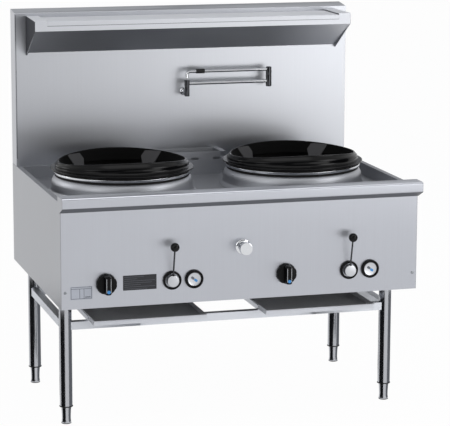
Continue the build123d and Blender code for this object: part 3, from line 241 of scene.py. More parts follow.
# Drip trays: pale sheet written mostly as a non-metal, painted light that brightens them, with light
# scratches along them.
tray_steel = finish_of("scratched_stainless_tray", "#CCCED2", "#D8DADE", (0.52, 0.60), 0.15,
                       (5.0, 260.0, 5.0), 0.004)
# Zinc-coated brackets and screws: dull and slightly mottled.
zinc = finish_of("zinc_coated_steel", "#8C9094", "#A2A6AA", (0.36, 0.50), 1.0, (9.0, 9.0, 9.0), 0.01, 40.0)
# Turned brass of the valves and spindles.
brass = finish_of("turned_brass", "#B08F4A", "#C6A45C", (0.25, 0.34), 1.0, (30.0, 1.5, 30.0), 0.004, 60.0)
# Painted steel gas pipe: grey, slightly orange-peeled.
pipe_paint = finish_of("grey_pipe_paint", "#5A5B5E", "#6A6B6E", (0.38, 0.48), 0.0,
                       (5.0, 5.0, 5.0), 0.02, 80.0, IOR=1.5)
# Black nylon collars at the feet.
collar_nylon = finish_of("black_nylon_collar", "#0D0D0E", "#161617", (0.40, 0.52), 0.0,
                         (3.0, 3.0, 3.0), 0.01, 30.0, IOR=1.5)

# CAD nodes that show as they are, by their finish.
finishes = {
    panel_steel: ("front_panel", "back_panel"),
    side_steel: ("side_panel_left", "side_panel_right"),
    shelf_steel: ("shelf_shell", "shelf_ends", "shelf_strip"),
    splash_steel: ("splash_back",),
    deck_steel: ("deck_side_ledges", "deck_cross_ledges", "deck_floor", "trough"),
    burnt_and_shade_steel: ("burner_well_left", "burner_well_right"),
    burner_iron: ("burners",),
    brass: ("gas_valves", "knob_spindle_left", "knob_spindle_right"),
    pipe_paint: ("gas_manifold", "feed_pipes"),
    chrome: ("water_pipes",),
    zinc: ("leg_brackets",),
    rail_steel: ("leg_rails", "tray_runners"),
    tray_steel: ("drip_tray_left", "drip_tray_right"),
    knob_plastic: ("igniters",),
}
for material, names in finishes.items():
    for name in names:
        nodes[name].data.materials.clear()
        nodes[name].data.materials.append(material)


# ------------------------------------------------------------ shapes
# Corners that turn less than 4 degrees stay as they are, and an arc takes up less than half a side.
NEARLY_STRAIGHT = radians(88)
ARC_SHARE = 0.48
# Points closer than this become one, in millimetres.
SAME_POINT = 0.01
# How many flats make a full turn of a thin rod, a small round part, a tube, a dial and a wide ring.
ROD_STEPS = 32
SMALL_STEPS = 48
TUBE_STEPS = 64
DIAL_STEPS = 72
WIDE_STEPS = 128


def rectangle(low_a, low_b, high_a, high_b):
    """The corners of a rectangle, from its low corner round."""
    return [(low_a, low_b), (high_a, low_b), (high_a, high_b), (low_a, high_b)]


def rounded(points, radius, steps=6, closed=False):
    """The points of a line whose corners are turned into arcs."""
    line = [Vector(p) for p in points]
    made = []
    for i, corner in enumerate(line):
        if not closed and i in (0, len(line) - 1):
            made.append(corner)
            continue
        before = line[i - 1] - corner
        after = line[(i + 1) % len(line)] - corner
        half = before.angle(after) / 2
        if half > NEARLY_STRAIGHT:
            made.append(corner)
            continue
        reach = min(radius / tan(half), before.length * ARC_SHARE, after.length * ARC_SHARE)
        arc_radius = reach * tan(half)
        inward = (before.normalized() + after.normalized()).normalized()
        centre = corner + inward * arc_radius / sin(half)
        first = corner + before.normalized() * reach - centre
        last = corner + after.normalized() * reach - centre
        turn = first.angle(last)
        for k in range(steps + 1):
            share = k / steps
            spoke = first * sin((1 - share) * turn) + last * sin(share * turn)
            made.append(centre + spoke / sin(turn))
    return made


def faces_round(steps, count, spans):
    """The faces between rows of count points that go once round an axis."""
    faces = []
    for i in range(steps):
        here = i * count
        there = ((i + 1) % steps) * count
        for k in range(spans):
            m = (k + 1) % count
            faces.append((here + k, there + k, there + m, here + m))
    return faces


def lathe(profile, centre, axis="Z", steps=DIAL_STEPS, closed=False, flutes=None):
    """A profile of (radius, height) points turned round an upright axis, or one that points to the front.

    flutes is (how many, how deep in mm) for a scalloped edge.
    """
    points = []
    for i in range(steps):
        turn = 2 * pi * i / steps
        for radius, height in profile:
            if flutes and radius > 0:
                radius -= flutes[1] * (0.5 + 0.5 * cos(flutes[0] * turn)) ** 3
            across_x = centre[0] + radius * cos(turn)
            if axis == "Z":
                points.append((across_x, centre[1] + radius * sin(turn), centre[2] + height))
            else:
                points.append((across_x, centre[1] - height, centre[2] + radius * sin(turn)))
    count = len(profile)
    return points, faces_round(steps, count, count if closed else count - 1)


def sweep(path, radius, steps):
    """A round bar with flat ends along a path."""
    line = [Vector(p) for p in path]
    points = []
    faces = []
    side = None
    for i, here in enumerate(line):
        ahead = line[min(i + 1, len(line) - 1)] - line[max(i - 1, 0)]
        ahead.normalize()
        if side is None:
            side = ahead.orthogonal().normalized()
        side = (side - ahead * side.dot(ahead)).normalized()
        other = ahead.cross(side)
        for k in range(steps):
            turn = 2 * pi * k / steps
            points.append(here + (side * cos(turn) + other * sin(turn)) * radius)
    for i in range(len(line) - 1):
        for k in range(steps):
            m = (k + 1) % steps
            faces.append((i * steps + k, i * steps + m, (i + 1) * steps + m, (i + 1) * steps + k))
    faces.append(tuple(range(steps)))
    faces.append(tuple(range((len(line) - 1) * steps, len(line) * steps)))
    return points, faces


def prism(outline, start, end, along="X"):
    """A closed outline pushed from start to end along X, or towards the front along Y."""
    count = len(outline)
    points = []
    for place in (start, end):
        for a, b in outline:
            points.append((place, a, b) if along == "X" else (a, place, b))
    faces = [(k, (k + 1) % count, count + (k + 1) % count, count + k) for k in range(count)]
    faces.append(tuple(range(count)))
    faces.append(tuple(range(count, 2 * count)))
    return points, faces


def merged(*shapes):
    """Several shapes as one list of points and faces."""
    points = []
    faces = []
    for shape_points, shape_faces in shapes:
        base = len(points)
        points += list(shape_points)
        faces += [tuple(base + k for k in face) for face in shape_faces]
    return points, faces


def piece(name, shape, material, body, stands_for=(), bevel=0.0, sharp=32.0):
    """A mesh piece from a shape in millimetres, which rides on a body and may stand for CAD nodes."""
    points, faces = shape
    mesh = bpy.data.meshes.new(name)
    mesh.from_pydata([tuple(c * MM for c in p) for p in points], [], faces)
    work = bmesh.new()
    work.from_mesh(mesh)
    bmesh.ops.remove_doubles(work, verts=work.verts, dist=SAME_POINT * MM)
    bmesh.ops.recalc_face_normals(work, faces=work.faces)
    work.to_mesh(mesh)
    work.free()
    mesh.polygons.foreach_set("use_smooth", [True] * len(mesh.polygons))
    mesh.set_sharp_from_angle(angle=radians(sharp))
    mesh.materials.append(material)
    made = bpy.data.objects.new(name, mesh)
    scene.collection.objects.link(made)
    if bevel:
        edge = made.modifiers.new("edge", "BEVEL")
        edge.width = bevel * MM
        edge.segments = 3
        edge.limit_method = "ANGLE"
        edge.angle_limit = radians(sharp)
    flat = made.modifiers.new("flat_faces", "WEIGHTED_NORMAL")
    flat.keep_sharp = True
    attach(made, body)
    if stands_for:
        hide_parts(*stands_for)
    return made


# ------------------------------------------------------------ front rim
# Folded nose: soft upper corner, a flat front, and a return to the panel underneath.
rim_outline = rounded([
    (PANEL_Y - RIM_REACH, RIM_TOP_Z), (PANEL_Y - RIM_REACH, RIM_FOLD_Z), (PANEL_Y, RIM_FOOT_Z),
    (PANEL_Y + RIM_LEDGE, RIM_FOOT_Z), (PANEL_Y + RIM_LEDGE, RIM_TOP_Z)],
    7.0, 8, closed=True)
nose = piece("front_rim_nose", prism(rim_outline, -RIM_HALF, RIM_HALF), panel_steel, "root",
             ("front_rim",), sharp=40)
# its underside, which slopes by more than 30 degrees from upright, gets painted shade
nose.data.materials.append(painted_shade_steel)
for face in nose.data.polygons:
    if face.normal.z < -sin(radians(30)):
        face.material_index = 1
# end caps that close the nose, of the side sheet with its painted shade
for side_name, side in SIDES:
    cap = prism(rim_outline, side * (RIM_HALF - 0.1), side * RIM_CAP_HALF)
    piece("front_rim_cap_" + side_name, cap, side_steel, "root")

# ------------------------------------------------------------ splashback and shelf
# splashback skin: one folded sheet, closed in front, above and at the sides;
# half width, front, top at the front and top at the back, of its outer and then its inner face
skin_sides = (
    (SPLASH_HALF, SPLASH_Y, 1294, 1303),
    (SPLASH_HALF - SPLASH_SHEET, SPLASH_Y + SPLASH_SHEET, 1292.2, 1301),
)
corners = []
for half_x, front_y, top_z, back_z in skin_sides:
    for x in (-half_x, half_x):
        corners += [(x, front_y, SPLASH_FOOT_Z), (x, front_y, top_z),
                    (x, SPLASH_BACK_Y, back_z), (x, SPLASH_BACK_Y, SPLASH_FOOT_Z)]
# the outer face has corners 0 to 7 and the inner face the same ones 8 further on
INNER = 8
skin = [(0, 4, 5, 1), (1, 5, 6, 2), (0, 1, 2, 3), (7, 6, 5, 4)]
skin += [tuple(INNER + k for k in reversed(face)) for face in skin]
for path in ((3, 0, 4, 7), (3, 2, 6, 7)):
    skin += [(a, b, INNER + b, INNER + a) for a, b in zip(path, path[1:])]
piece("splash_skin", (corners, skin), splash_steel, "root", ("splash_front",),
      bevel=1.2)
# painted shade: a thin dark line down its left fold
fold_line = rectangle(SPLASH_Y - 0.3, 790, SPLASH_Y + 0.3, 1288)
piece("splash_fold_painted_shade", prism(fold_line, -SPLASH_HALF + 2.5, -SPLASH_HALF + 5.0), painted_shade_steel, "root")
# shelf: painted shade on the outer faces of the end plates, and a thin painted-shade line in the joint
# under the upper strip
end_outline = [(SHELF_Y, 1246), (SHELF_Y, 1279), (SPLASH_Y, 1284), (SPLASH_Y, 1149)]
for side_name, side in SIDES:
    end_face = prism(end_outline, side * SHELF_END_X, side * (SHELF_END_X + 0.6))
    piece("shelf_end_painted_shade_" + side_name, end_face, painted_shade_end_steel, "root")
# painted shade: a thin strip of the darkened steel in the joint
joint_line = rectangle(SHELF_Y - 0.3, 1262.7, SHELF_Y + 0.4, 1264.3)
piece("shelf_joint_painted_shade", prism(joint_line, -SHELF_HALF, SHELF_HALF), painted_shade_steel, "root")


# ------------------------------------------------------------ wok rings
# The ring's wall and bore are ovals, given as half their width and half their depth.
RING_FOOT = (226.0, 195.0)
RING_LIP = (216.0, 178.0)
BORE = (198.0, 160.0)
FLANGE_R = 240.0
FLANGE_Z = 799.3
FLANGE_TOP = 805.0
FLANGE_ROUND = 2.0
# The lip is highest at the front and back, and lower by SIDE_DROP at the sides.
CROWN_Z = 841.0
SIDE_DROP = 15.0
RING_WALL = 9.0
WALL_BULGE = 3.5
BEAD_STEPS = 8
RING_STEPS = 160
# Pads, from the lip down: distance from the middle, height and width.
PAD_EDGES = ((186, 832, 80), (166, 786, 40))
PAD_THICKNESS = 9.0


def ring_row(turn, centre_x):
    """The points of a wok ring's section at one angle round it."""
    crown = CROWN_Z - SIDE_DROP * cos(turn) ** 2
    rise = crown - FLANGE_TOP
    full = CROWN_Z - FLANGE_TOP
    top = [RING_FOOT[k] + (RING_LIP[k] - RING_FOOT[k]) * rise / full for k in (0, 1)]
    # flange: its round edge, from below to above
    row = [(*BORE, FLANGE_Z)]
    for inset, height in (
            (FLANGE_ROUND, FLANGE_Z), (0.6, FLANGE_Z + 0.6), (0, FLANGE_Z + FLANGE_ROUND),
            (0, FLANGE_TOP - FLANGE_ROUND), (0.6, FLANGE_TOP - 0.6), (FLANGE_ROUND, FLANGE_TOP)):
        row.append((FLANGE_R - inset, FLANGE_R - inset, height))
    # fillet between the flange and the wall
    for out_x, out_y, up in ((4, 4, 0), (1.2, 1.2, 1.2), (-0.6, -1.2, 4)):
        row.append((RING_FOOT[0] + out_x, RING_FOOT[1] + out_y, FLANGE_TOP + up))
    # wall, with a slight bulge at half its height
    for share in (0.26, 0.38, 0.5, 0.62, 0.74):
        bulge = WALL_BULGE * sin(pi * (share - 0.14) / 0.72) ** 2
        row.append((RING_FOOT[0] + (top[0] - RING_FOOT[0]) * share + bulge,
                    RING_FOOT[1] + (top[1] - RING_FOOT[1]) * share + bulge, FLANGE_TOP + rise * share))
    # round bead of the lip, and the inside of the wall
    bead = RING_WALL / 2
    for k in range(BEAD_STEPS + 1):
        angle = pi * k / BEAD_STEPS
        inset = bead * (1 - cos(angle))
        row.append((top[0] - inset, top[1] - inset, crown - bead * (1 - sin(angle))))
    for share in (0.35, 0.7):
        row.append(tuple(
            (top[k] - RING_WALL) * (1 - share) + BORE[k] * share for k in (0, 1)
        ) + ((crown - bead) * (1 - share) + FLANGE_Z * share,))
    return [(centre_x + a * cos(turn), RING_Y + b * sin(turn), z) for a, b, z in row]


for side_name, side in SIDES:
    centre_x = side * RING_X
    ring_body = "wok_ring_" + side_name
    points = []
    for i in range(RING_STEPS):
        points += ring_row(2 * pi * i / RING_STEPS, centre_x)
    count = len(points) // RING_STEPS
    casting = piece("wok_ring_casting_" + side_name, (points, faces_round(RING_STEPS, count, count)),
                    ring_enamel, ring_body, ("wok_ring_" + side_name,), sharp=60)
    # faces that look inwards within 60 degrees are burnt dull
    casting.data.materials.append(ring_inside)
    for face in casting.data.polygons:
        inward = Vector((centre_x * MM, RING_Y * MM, face.center.z)) - face.center
        if face.normal.dot(inward.normalized()) > cos(radians(60)):
            face.material_index = 1

    # four steep pads against the wall, wide at the lip and narrow at the foot
    pads = []
    for quarter in range(4):
        turn = radians(45 + 90 * quarter)
        out = Vector((cos(turn), sin(turn), 0))
        facing_turn = atan2(sin(turn) / RING_LIP[1] ** 2, cos(turn) / RING_LIP[0] ** 2)
        over = Vector((-sin(facing_turn), cos(facing_turn), 0))
        top_face = []
        for radius, height, width in PAD_EDGES:
            for hand in (-1, 1):
                spot = Vector((centre_x, RING_Y, 0)) + out * radius + over * hand * width / 2
                spot.z = height
                top_face.append(spot)
        # square to the pad's slope, into the wall
        down = Vector((41 * cos(turn), 41 * sin(turn), -18)).normalized() * PAD_THICKNESS
        corners = [top_face[0], top_face[1], top_face[3], top_face[2]]
        pads.append(([*corners, *(c + down for c in corners)],
                     [(0, 1, 2, 3), (7, 6, 5, 4), (0, 4, 5, 1), (1, 5, 6, 2), (2, 6, 7, 3), (3, 7, 4, 0)]))
    piece("wok_ring_pads_" + side_name, merged(*pads), pad_iron, ring_body,
          bevel=2.0)

    # spun collar: flared foot, straight wall, and a full round shoulder up to the neck
    axis = (centre_x, RING_Y, 0)
    collar = rounded([(250.5, 722), (249, 724), (239.5, 731), (238, 745)], 9.0, 6)
    collar += [(212 + 26 * cos(radians(5 * k)), 750 + 31 * sin(radians(5 * k))) for k in range(1, 19)]
    collar += [(212, 779), (222, 776), (231, 768), (236, 755), (237, 730), (247, 722)]
    piece("spun_collar_" + side_name, lathe(collar, axis, steps=WIDE_STEPS, closed=True),
          collar_steel, "root", ("collar_" + side_name,), sharp=50)

    # trim band: polished outside, with a narrow dark neck below and above it, whose black is painted shade
    # under the ring
    band = rounded(rectangle(212, 785, 232, 793), 1.5, 4, closed=True)
    piece("trim_band_" + side_name, lathe(band, axis, steps=WIDE_STEPS, closed=True),
          trim_steel, "root", ("trim_rings",), sharp=50)
    # painted shade: the neck is black where the ring's flange shades it
    neck = [(213, 774), (226, 774), (226, 786), (228, 786), (228, 799), (213, 799)]
    piece("trim_neck_painted_shade_" + side_name, lathe(neck, axis, steps=WIDE_STEPS, closed=True),
          burnt_and_shade_steel, "root")
    # heat shield: blackened strip that lines the band, the neck and the collar's lip
    shield = [(211.6, 799), (210.4, 799), (210.4, 769), (211.6, 769)]
    piece("heat_shield_" + side_name, lathe(shield, axis, steps=WIDE_STEPS, closed=True),
          burnt_and_shade_steel, "root")

# ------------------------------------------------------------ legs, collars and feet
tube = [(19, 60), (20.6, 60), (21, 60.6), (21, 64), (21, 420), (19, 420)]
# foot: waisted body up to the collar, and the stem that screws into the leg
foot = [(0, 0.4), (14.5, 0.4), (15.6, 1.2), (16.2, 5), (15.2, 10), (14.6, 16), (14.9, 30), (15.8, 46),
        (16.5, 52), (16.5, 56.2), (15.8, 56.7), (8, 56.7), (8, 118), (0, 118)]
foot_pad = [(0, 0), (14.8, 0), (16.4, 0.8), (16.6, 2.4), (15.6, 3.2), (0, 3.2)]
leg_collar = [(8.1, 57), (21.5, 57), (22.5, 57.8), (22.5, 59.6), (21.8, 60.4), (8.1, 60.4)]
collars = []
for leg_name, leg_x, leg_y in LEG_SPOTS:
    axis = (leg_x, leg_y, 0)
    piece("leg_tube_" + leg_name, lathe(tube, axis, steps=TUBE_STEPS, closed=True), tube_steel,
          "root", ("leg_" + leg_name,), sharp=50)
    piece("foot_body_" + leg_name, lathe(foot, axis, steps=SMALL_STEPS), tube_steel,
          "foot_" + leg_name, ("foot_" + leg_name,), sharp=50)
    piece("foot_pad_" + leg_name, lathe(foot_pad, axis, steps=SMALL_STEPS), collar_nylon,
          "foot_" + leg_name, sharp=50)
    collars.append(lathe(leg_collar, axis, steps=TUBE_STEPS, closed=True))
piece("leg_collar_rings", merged(*collars), collar_nylon, "root", ("leg_collars",),
      sharp=50)

# ------------------------------------------------------------ gas controls
bezels = []
for side_name, side in SIDES:
    knob_at = (side * RING_X + KNOB_OFFSET, PANEL_Y, CONTROL_Z)
    lever_at = (side * RING_X + LEVER_OFFSET, PANEL_Y, CONTROL_Z)
    button_at = (side * RING_X + IGNITER_OFFSET, PANEL_Y, CONTROL_Z)

    # knob: skirt with ten scallops, and a raised grip with a painted highlight line along each edge and a
    # blue dot
    skirt = [(0, 4.5), (33, 4.5), (34, 5.4), (33.2, 12), (31.6, 16.4), (29.8, 17.8), (0, 18.6)]
    knob_body = "knob_" + side_name
    piece("knob_skirt_" + side_name, lathe(skirt, knob_at, "Y", 120, flutes=(10, 1.2)), knob_plastic,
          knob_body, ("knob_" + side_name,), sharp=45)
    # distance from the panel, half length and half width of the grip's layers
    grip_layers = ((18.0, 31.0, 11.5), (28.0, 30.6, 11.0), (37.0, 29.6, 10.0), (39.4, 28.4, 9.0))
    points = []
    for out, half_length, half_width in grip_layers:
        outline = rounded(rectangle(-half_width, -half_length, half_width, half_length), 7.0, 6,
                          closed=True)
        points += [(knob_at[0] + p[0], PANEL_Y - out, CONTROL_Z + p[1]) for p in outline]
    count = len(outline)
    last_layer = len(grip_layers) - 1
    faces = [tuple(range(count)), tuple(range(last_layer * count, (last_layer + 1) * count))]
    for layer in range(last_layer):
        for k in range(count):
            m = (k + 1) % count
            faces.append((layer * count + k, layer * count + m, (layer + 1) * count + m,
                          (layer + 1) * count + k))
    piece("knob_grip_" + side_name, (points, faces), knob_plastic, knob_body,
          sharp=30)
    dot = [(0, 39.4), (5.2, 39.4), (5.6, 39.8), (0, 40.0)]
    dot_at = (knob_at[0], PANEL_Y, CONTROL_Z - 19)
    piece("knob_dot_" + side_name, lathe(dot, dot_at, "Y", ROD_STEPS), blue_print, knob_body)
    # painted highlights on the grip's two front edges
    lines = []
    for middle in (-7.0, 7.0):
        line = rounded(rectangle(middle - 0.6, -22, middle + 0.6, 24), 0.5, 4, closed=True)
        lines.append(prism([(knob_at[0] + p[0], CONTROL_Z + p[1]) for p in line], PANEL_Y - 39.2,
                           PANEL_Y - 39.6, "Y"))
    piece("knob_edge_highlights_" + side_name, merged(*lines), edge_highlight_paint, knob_body)

    # lever: flat-fronted steel hub on a shaft, thin rod and a ball
    lever_body = "lever_" + side_name
    hub = [(0, 0.5), (18.6, 1), (19.4, 2), (19.4, 19.4), (18.8, 20.8), (17.6, 21.7), (0, 22.0)]
    root = Vector((lever_at[0], PANEL_Y - 13, CONTROL_Z))
    ball = Vector((lever_at[0], PANEL_Y - 40, BALL_Z))
    shaft = [(0, 0.6), (6, 0.6), (6, -38), (0, -38)]
    piece("lever_hub_" + side_name,
          merged(lathe(hub, lever_at, "Y", DIAL_STEPS), lathe(shaft, lever_at, "Y", ROD_STEPS)),
          spun_steel, lever_body, ("lever_" + side_name,), sharp=45)
    up = (ball - root).normalized()
    piece("lever_rod_" + side_name, sweep([root, ball], 2.75, 24), rod_steel, lever_body)
    boss = [(0, 14.2), (3.6, 14.2), (4.6, 15.4), (4.9, 20.6), (4.2, 21.8), (0, 21.8)]
    tilt = Vector((0, 0, 1)).rotation_difference(up).to_matrix()
    boss_points, boss_faces = lathe(boss, (0, 0, 0), "Z", ROD_STEPS)
    piece("lever_boss_" + side_name, ([root + tilt @ Vector(p) for p in boss_points], boss_faces),
          knob_plastic, lever_body)
    globe = [(BALL_R * sin(pi * k / 24), -BALL_R * cos(pi * k / 24)) for k in range(1, 24)]
    globe = [(0, -BALL_R), *globe, (0, BALL_R)]
    piece("lever_knob_ball_" + side_name, lathe(globe, tuple(ball), "Z", SMALL_STEPS), ball_plastic,
          lever_body, ("lever_ball_" + side_name,), sharp=60)

    # igniter button: slightly dished steel disc with a slanted mark, half blue and half grey
    button = [(0, 5.6), (16, 6.0), (19.5, 7.0), (21.2, 7.3), (22, 6.4), (22, 3.8), (0, 3.8)]
    stem = [(0, 3.9), (6, 3.9), (6, -38), (0, -38)]
    button_body = "igniter_button_" + side_name
    piece("button_disc_" + side_name,
          merged(lathe(button, button_at, "Y", DIAL_STEPS), lathe(stem, button_at, "Y", ROD_STEPS)),
          spun_steel, button_body, ("igniter_button_" + side_name,), sharp=45)
    slant = Matrix.Rotation(radians(-38), 2)
    for mark_name, first, last, print_colour in (("blue", 0.5, 12.5, blue_print),
                                                 ("grey", -12.5, -0.5, label_ink)):
        mark = [slant @ p for p in rounded(rectangle(first, -4, last, 4), 3.4, 5, closed=True)]
        mark = [(button_at[0] + p[0], CONTROL_Z + p[1]) for p in mark]
        piece("button_mark_" + mark_name + "_" + side_name,
              prism(mark, PANEL_Y - 5.5, PANEL_Y - 6.4, "Y"),
              print_colour, button_body)

    # black bezels of the lever and the button
    bezel = rounded([(23, 0.2), (30.8, 0.2), (30.2, 9.0), (23, 9.0)], 2.2, 5, closed=True)
    for spot in (lever_at, button_at):
        bezels.append(lathe(bezel, spot, "Y", DIAL_STEPS, closed=True))
piece("control_bezel_rings", merged(*bezels), knob_plastic, "root", ("control_bezels",),
      sharp=45)

# ------------------------------------------------------------ water control
water_at = (0.0, PANEL_Y, WATER_Z)
valve = [(0, -45), (14.5, -45), (15, -44), (15, -2), (10.7, -2), (10.7, 0), (24, 0), (25, 0.8), (24.2, 3),
         (20, 5), (12, 6), (5.2, 6), (5.2, -24), (0, -24)]
piece("water_valve_body", lathe(valve, water_at, "Y", TUBE_STEPS), chrome, "root", ("water_valve",),
      sharp=45)
grip = [(0, -22), (4.9, -22), (4.9, 6.3), (14, 6.3), (15, 7.2), (15, 27), (16.5, 29.4), (20.5, 30.2),
        (21.5, 31.4), (21.5, 41), (20.4, 42.6), (18, 43), (0, 43)]
piece("water_knob_grip", lathe(grip, water_at, "Y", 96), chrome, "water_knob", ("water_knob",),
      sharp=45)

# ------------------------------------------------------------ folding tap
# wall flange, nipple and upright body
flange = [(0, 0.2), (14.6, 0.2), (15, 1), (14.4, 3), (12, 5.2), (8.2, 6), (8, 7), (8, 40), (0, 40)]
upright = [(0, 994), (8.2, 994), (9, 995), (9, 1023.4), (8.4, 1024), (6, 1024), (6, 1043.4), (0, 1044)]
tail = [(0, 0.3), (8, 0.3), (8, -14), (0, -14)]
tap_at = (0.0, TAP_Y, 0.0)
inlet_at = (0, SPLASH_Y, TAP_INLET_Z)
piece("tap_wall_inlet",
      merged(lathe(flange, inlet_at, "Y", SMALL_STEPS), lathe(tail, inlet_at, "Y", SMALL_STEPS)),
      chrome, "root", ("tap_inlet",), sharp=45)
piece("tap_inlet_upright", lathe(upright, tap_at, "Z", SMALL_STEPS), chrome_painted_dark_reflection, "root",
      sharp=45)

# lower arm: hub that turns on the inlet's pin, straight tube, and the folding joint
hub = rounded([(6.05, 1024.3), (9, 1024.3), (9, 1052), (0, 1052)], 1.2, 4)
elbow = [(0, 1020), (7.6, 1020), (9.2, 1020.8), (10, 1022.6), (10, 1059.2), (9.2, 1060), (6, 1060),
         (6, 1069.6), (0, 1070)]
joint_at = (TAP_ARM, TAP_Y, 0.0)
lower_run = [(8.0, TAP_Y, TAP_LOWER_Z), (TAP_ARM - 9, TAP_Y, TAP_LOWER_Z)]
piece("tap_lower_tube", sweep(lower_run, TAP_TUBE_R, ROD_STEPS), chrome, "tap_lower_arm",
      ("tap_lower_arm",), sharp=45)
piece("tap_lower_joints",
      merged(lathe(hub, tap_at, "Z", SMALL_STEPS), lathe(elbow, joint_at, "Z", SMALL_STEPS)),
      chrome_painted_dark_reflection, "tap_lower_arm", sharp=45)

# upper arm: joint cap, tube and the spout that turns down
cap = [(6.05, 1060.3), (9.4, 1060.3), (10, 1061), (10, 1087.4), (9.2, 1089.2), (7.4, 1090), (0, 1090)]
upper_run = rounded([(TAP_ARM - 9, TAP_Y, TAP_UPPER_Z), (0, TAP_Y, TAP_UPPER_Z),
                     (0, TAP_Y, TAP_SPOUT_Z)], 22.0, 14)
nozzle = [(4.6, 1057.2), (6.4, 1057.2), (6.9, 1057.8), (6.9, 1061), (6.2, 1062), (4.6, 1062)]
piece("tap_upper_tube",
      merged(sweep(upper_run, TAP_TUBE_R, ROD_STEPS), lathe(nozzle, tap_at, "Z", 40, closed=True)),
      chrome, "tap_upper_arm", ("tap_upper_arm",), sharp=45)
piece("tap_upper_joint", lathe(cap, joint_at, "Z", SMALL_STEPS), chrome_painted_dark_reflection, "tap_upper_arm",
      sharp=45)

# ribbed sleeve on the upper tube, near the spout
SLEEVE_X = 32.0
SLEEVE_LENGTH = 31.0
SLEEVE_RIBS = 8
sleeve = [(6.1, 0)]
for k in range(SLEEVE_RIBS):
    start = SLEEVE_LENGTH * k / SLEEVE_RIBS
    sleeve += [(7.4, start + 0.1), (8.0, start + 1.0), (8.0, start + 2.9), (7.4, start + 3.8)]
sleeve.append((6.1, SLEEVE_LENGTH))
points, faces = lathe(sleeve, (0, 0, 0), "Z", 40, closed=True)
piece("tap_ribbed_sleeve", ([(SLEEVE_X + z, TAP_Y + y, TAP_UPPER_Z + x) for x, y, z in points], faces),
      grip_rubber, "tap_upper_arm", ("tap_grip",), sharp=45)

# ------------------------------------------------------------ plates and screws
PLATE_DEPTH = 1.0
LABEL_DEPTH = 0.5
INK_DEPTH = 0.1
plate = rounded(rectangle(-398, 471.75, -288, 520.25), 1.5, 3, closed=True)
piece("panel_plate_black", prism(plate, PANEL_Y, PANEL_Y - PLATE_DEPTH, "Y"), plate_black, "root",
      ("panel_plates",), bevel=0.2)
label = rounded(rectangle(-570, 451, -498, 494), 2.0, 3, closed=True)
piece("panel_label_pale", prism(label, PANEL_Y, PANEL_Y - LABEL_DEPTH, "Y"), label_film, "root")


def rules(strips, depth):
    """Thin printed rules in front of the panel by depth, each given as (low x, low z, high x, high z)."""
    return merged(*(prism(rectangle(*strip), PANEL_Y - depth, PANEL_Y - depth - INK_DEPTH, "Y")
                    for strip in strips))


label_rules = [(-568, 453, -566.5, 492), (-501.5, 453, -500, 492), (-568, 453, -500, 454.5),
               (-568, 490.5, -500, 492), (-540, 454, -538.5, 486), (-526, 454, -524.5, 486),
               (-568, 485, -500, 486.5), (-522, 457, -504, 460)]
piece("label_rules", rules(label_rules, LABEL_DEPTH), label_ink, "root")
# seven rules of uneven length stand for the lines of print on the black plate
RULE_PITCH = 6.4
plate_rules = [(-394, 476 + RULE_PITCH * k, end, 476.9 + RULE_PITCH * k)
               for k, end in enumerate((-318, -292, -340, -304, -292, -352, -330))]
piece("plate_rules", rules(plate_rules, PLATE_DEPTH), label_ink, "root")

head = [(0, 1.2), (1.6, 1.2), (2.0, 2.3), (4.0, 1.9), (4.9, 0.6), (5.0, 0.0), (2.5, 0.0), (2.5, -13.5),
        (0, -14)]
screws = [lathe(head, (side * SCREW_X, PANEL_Y, SCREW_Z), "Y", ROD_STEPS) for side_name, side in SIDES]
piece("panel_screw_heads", merged(*screws), zinc, "root", ("panel_screws",), sharp=45)

# ------------------------------------------------------------ studio
world = bpy.data.worlds.new("studio")
scene.world = world
world.use_nodes = True
tree = world.node_tree
tree.nodes.clear()


def seen_directly(tree):
    """1 for rays from the camera, in a reflection or through glass, and 0 for the light itself."""
    ray = put(tree, "ShaderNodeLightPath", {}, {})
    mirrored = put(tree, "ShaderNodeMath", {"operation": "MAXIMUM"}, {
        0: ray.outputs["Is Camera Ray"], 1: ray.outputs["Is Glossy Ray"]})
    return put(tree, "ShaderNodeMath", {"operation": "MAXIMUM"}, {
        0: mirrored.outputs[0], 1: ray.outputs["Is Transmission Ray"]}).outputs[0]


WHITE = (1, 1, 1, 1)
ROOM_LIGHT = 0.55
# The floor shows this much of its own white and the rest of the light and shadow on it.
FLOOR_GLOW = 0.97
FLOOR_HALF = 40.0
fill_light = put(tree, "ShaderNodeBackground", {}, {"Color": linear("#F2F4FA"), "Strength": ROOM_LIGHT})
backdrop = put(tree, "ShaderNodeBackground", {}, {"Color": WHITE, "Strength": 1.0})
mixed = put(tree, "ShaderNodeMixShader", {}, {
    0: seen_directly(tree), 1: fill_light.outputs[0], 2: backdrop.outputs[0]})
put(tree, "ShaderNodeOutputWorld", {}, {"Surface": mixed.outputs[0]})

# floor: matt white paper that shows white and keeps a faint shadow
paper = bpy.data.materials.new("white_studio_paper")
paper.use_nodes = True
tree = paper.node_tree
tree.nodes.clear()
matt = put(tree, "ShaderNodeBsdfDiffuse", {}, {"Color": linear("#E6E6E8")})
glow = put(tree, "ShaderNodeEmission", {}, {"Color": WHITE, "Strength": 1.0})
share = put(tree, "ShaderNodeMath", {"operation": "MULTIPLY"}, {0: seen_directly(tree), 1: FLOOR_GLOW})
both = put(tree, "ShaderNodeMixShader", {}, {
    0: share.outputs[0], 1: matt.outputs[0], 2: glow.outputs[0]})
put(tree, "ShaderNodeOutputMaterial", {}, {"Surface": both.outputs[0]})
floor_mesh = bpy.data.meshes.new("studio_floor")
floor_corners = rectangle(-FLOOR_HALF, -FLOOR_HALF, FLOOR_HALF, FLOOR_HALF)
floor_mesh.from_pydata([(x, y, 0) for x, y in floor_corners], [], [(0, 1, 2, 3)])
floor_mesh.materials.append(paper)
floor = bpy.data.objects.new("studio_floor", floor_mesh)
scene.collection.objects.link(floor)


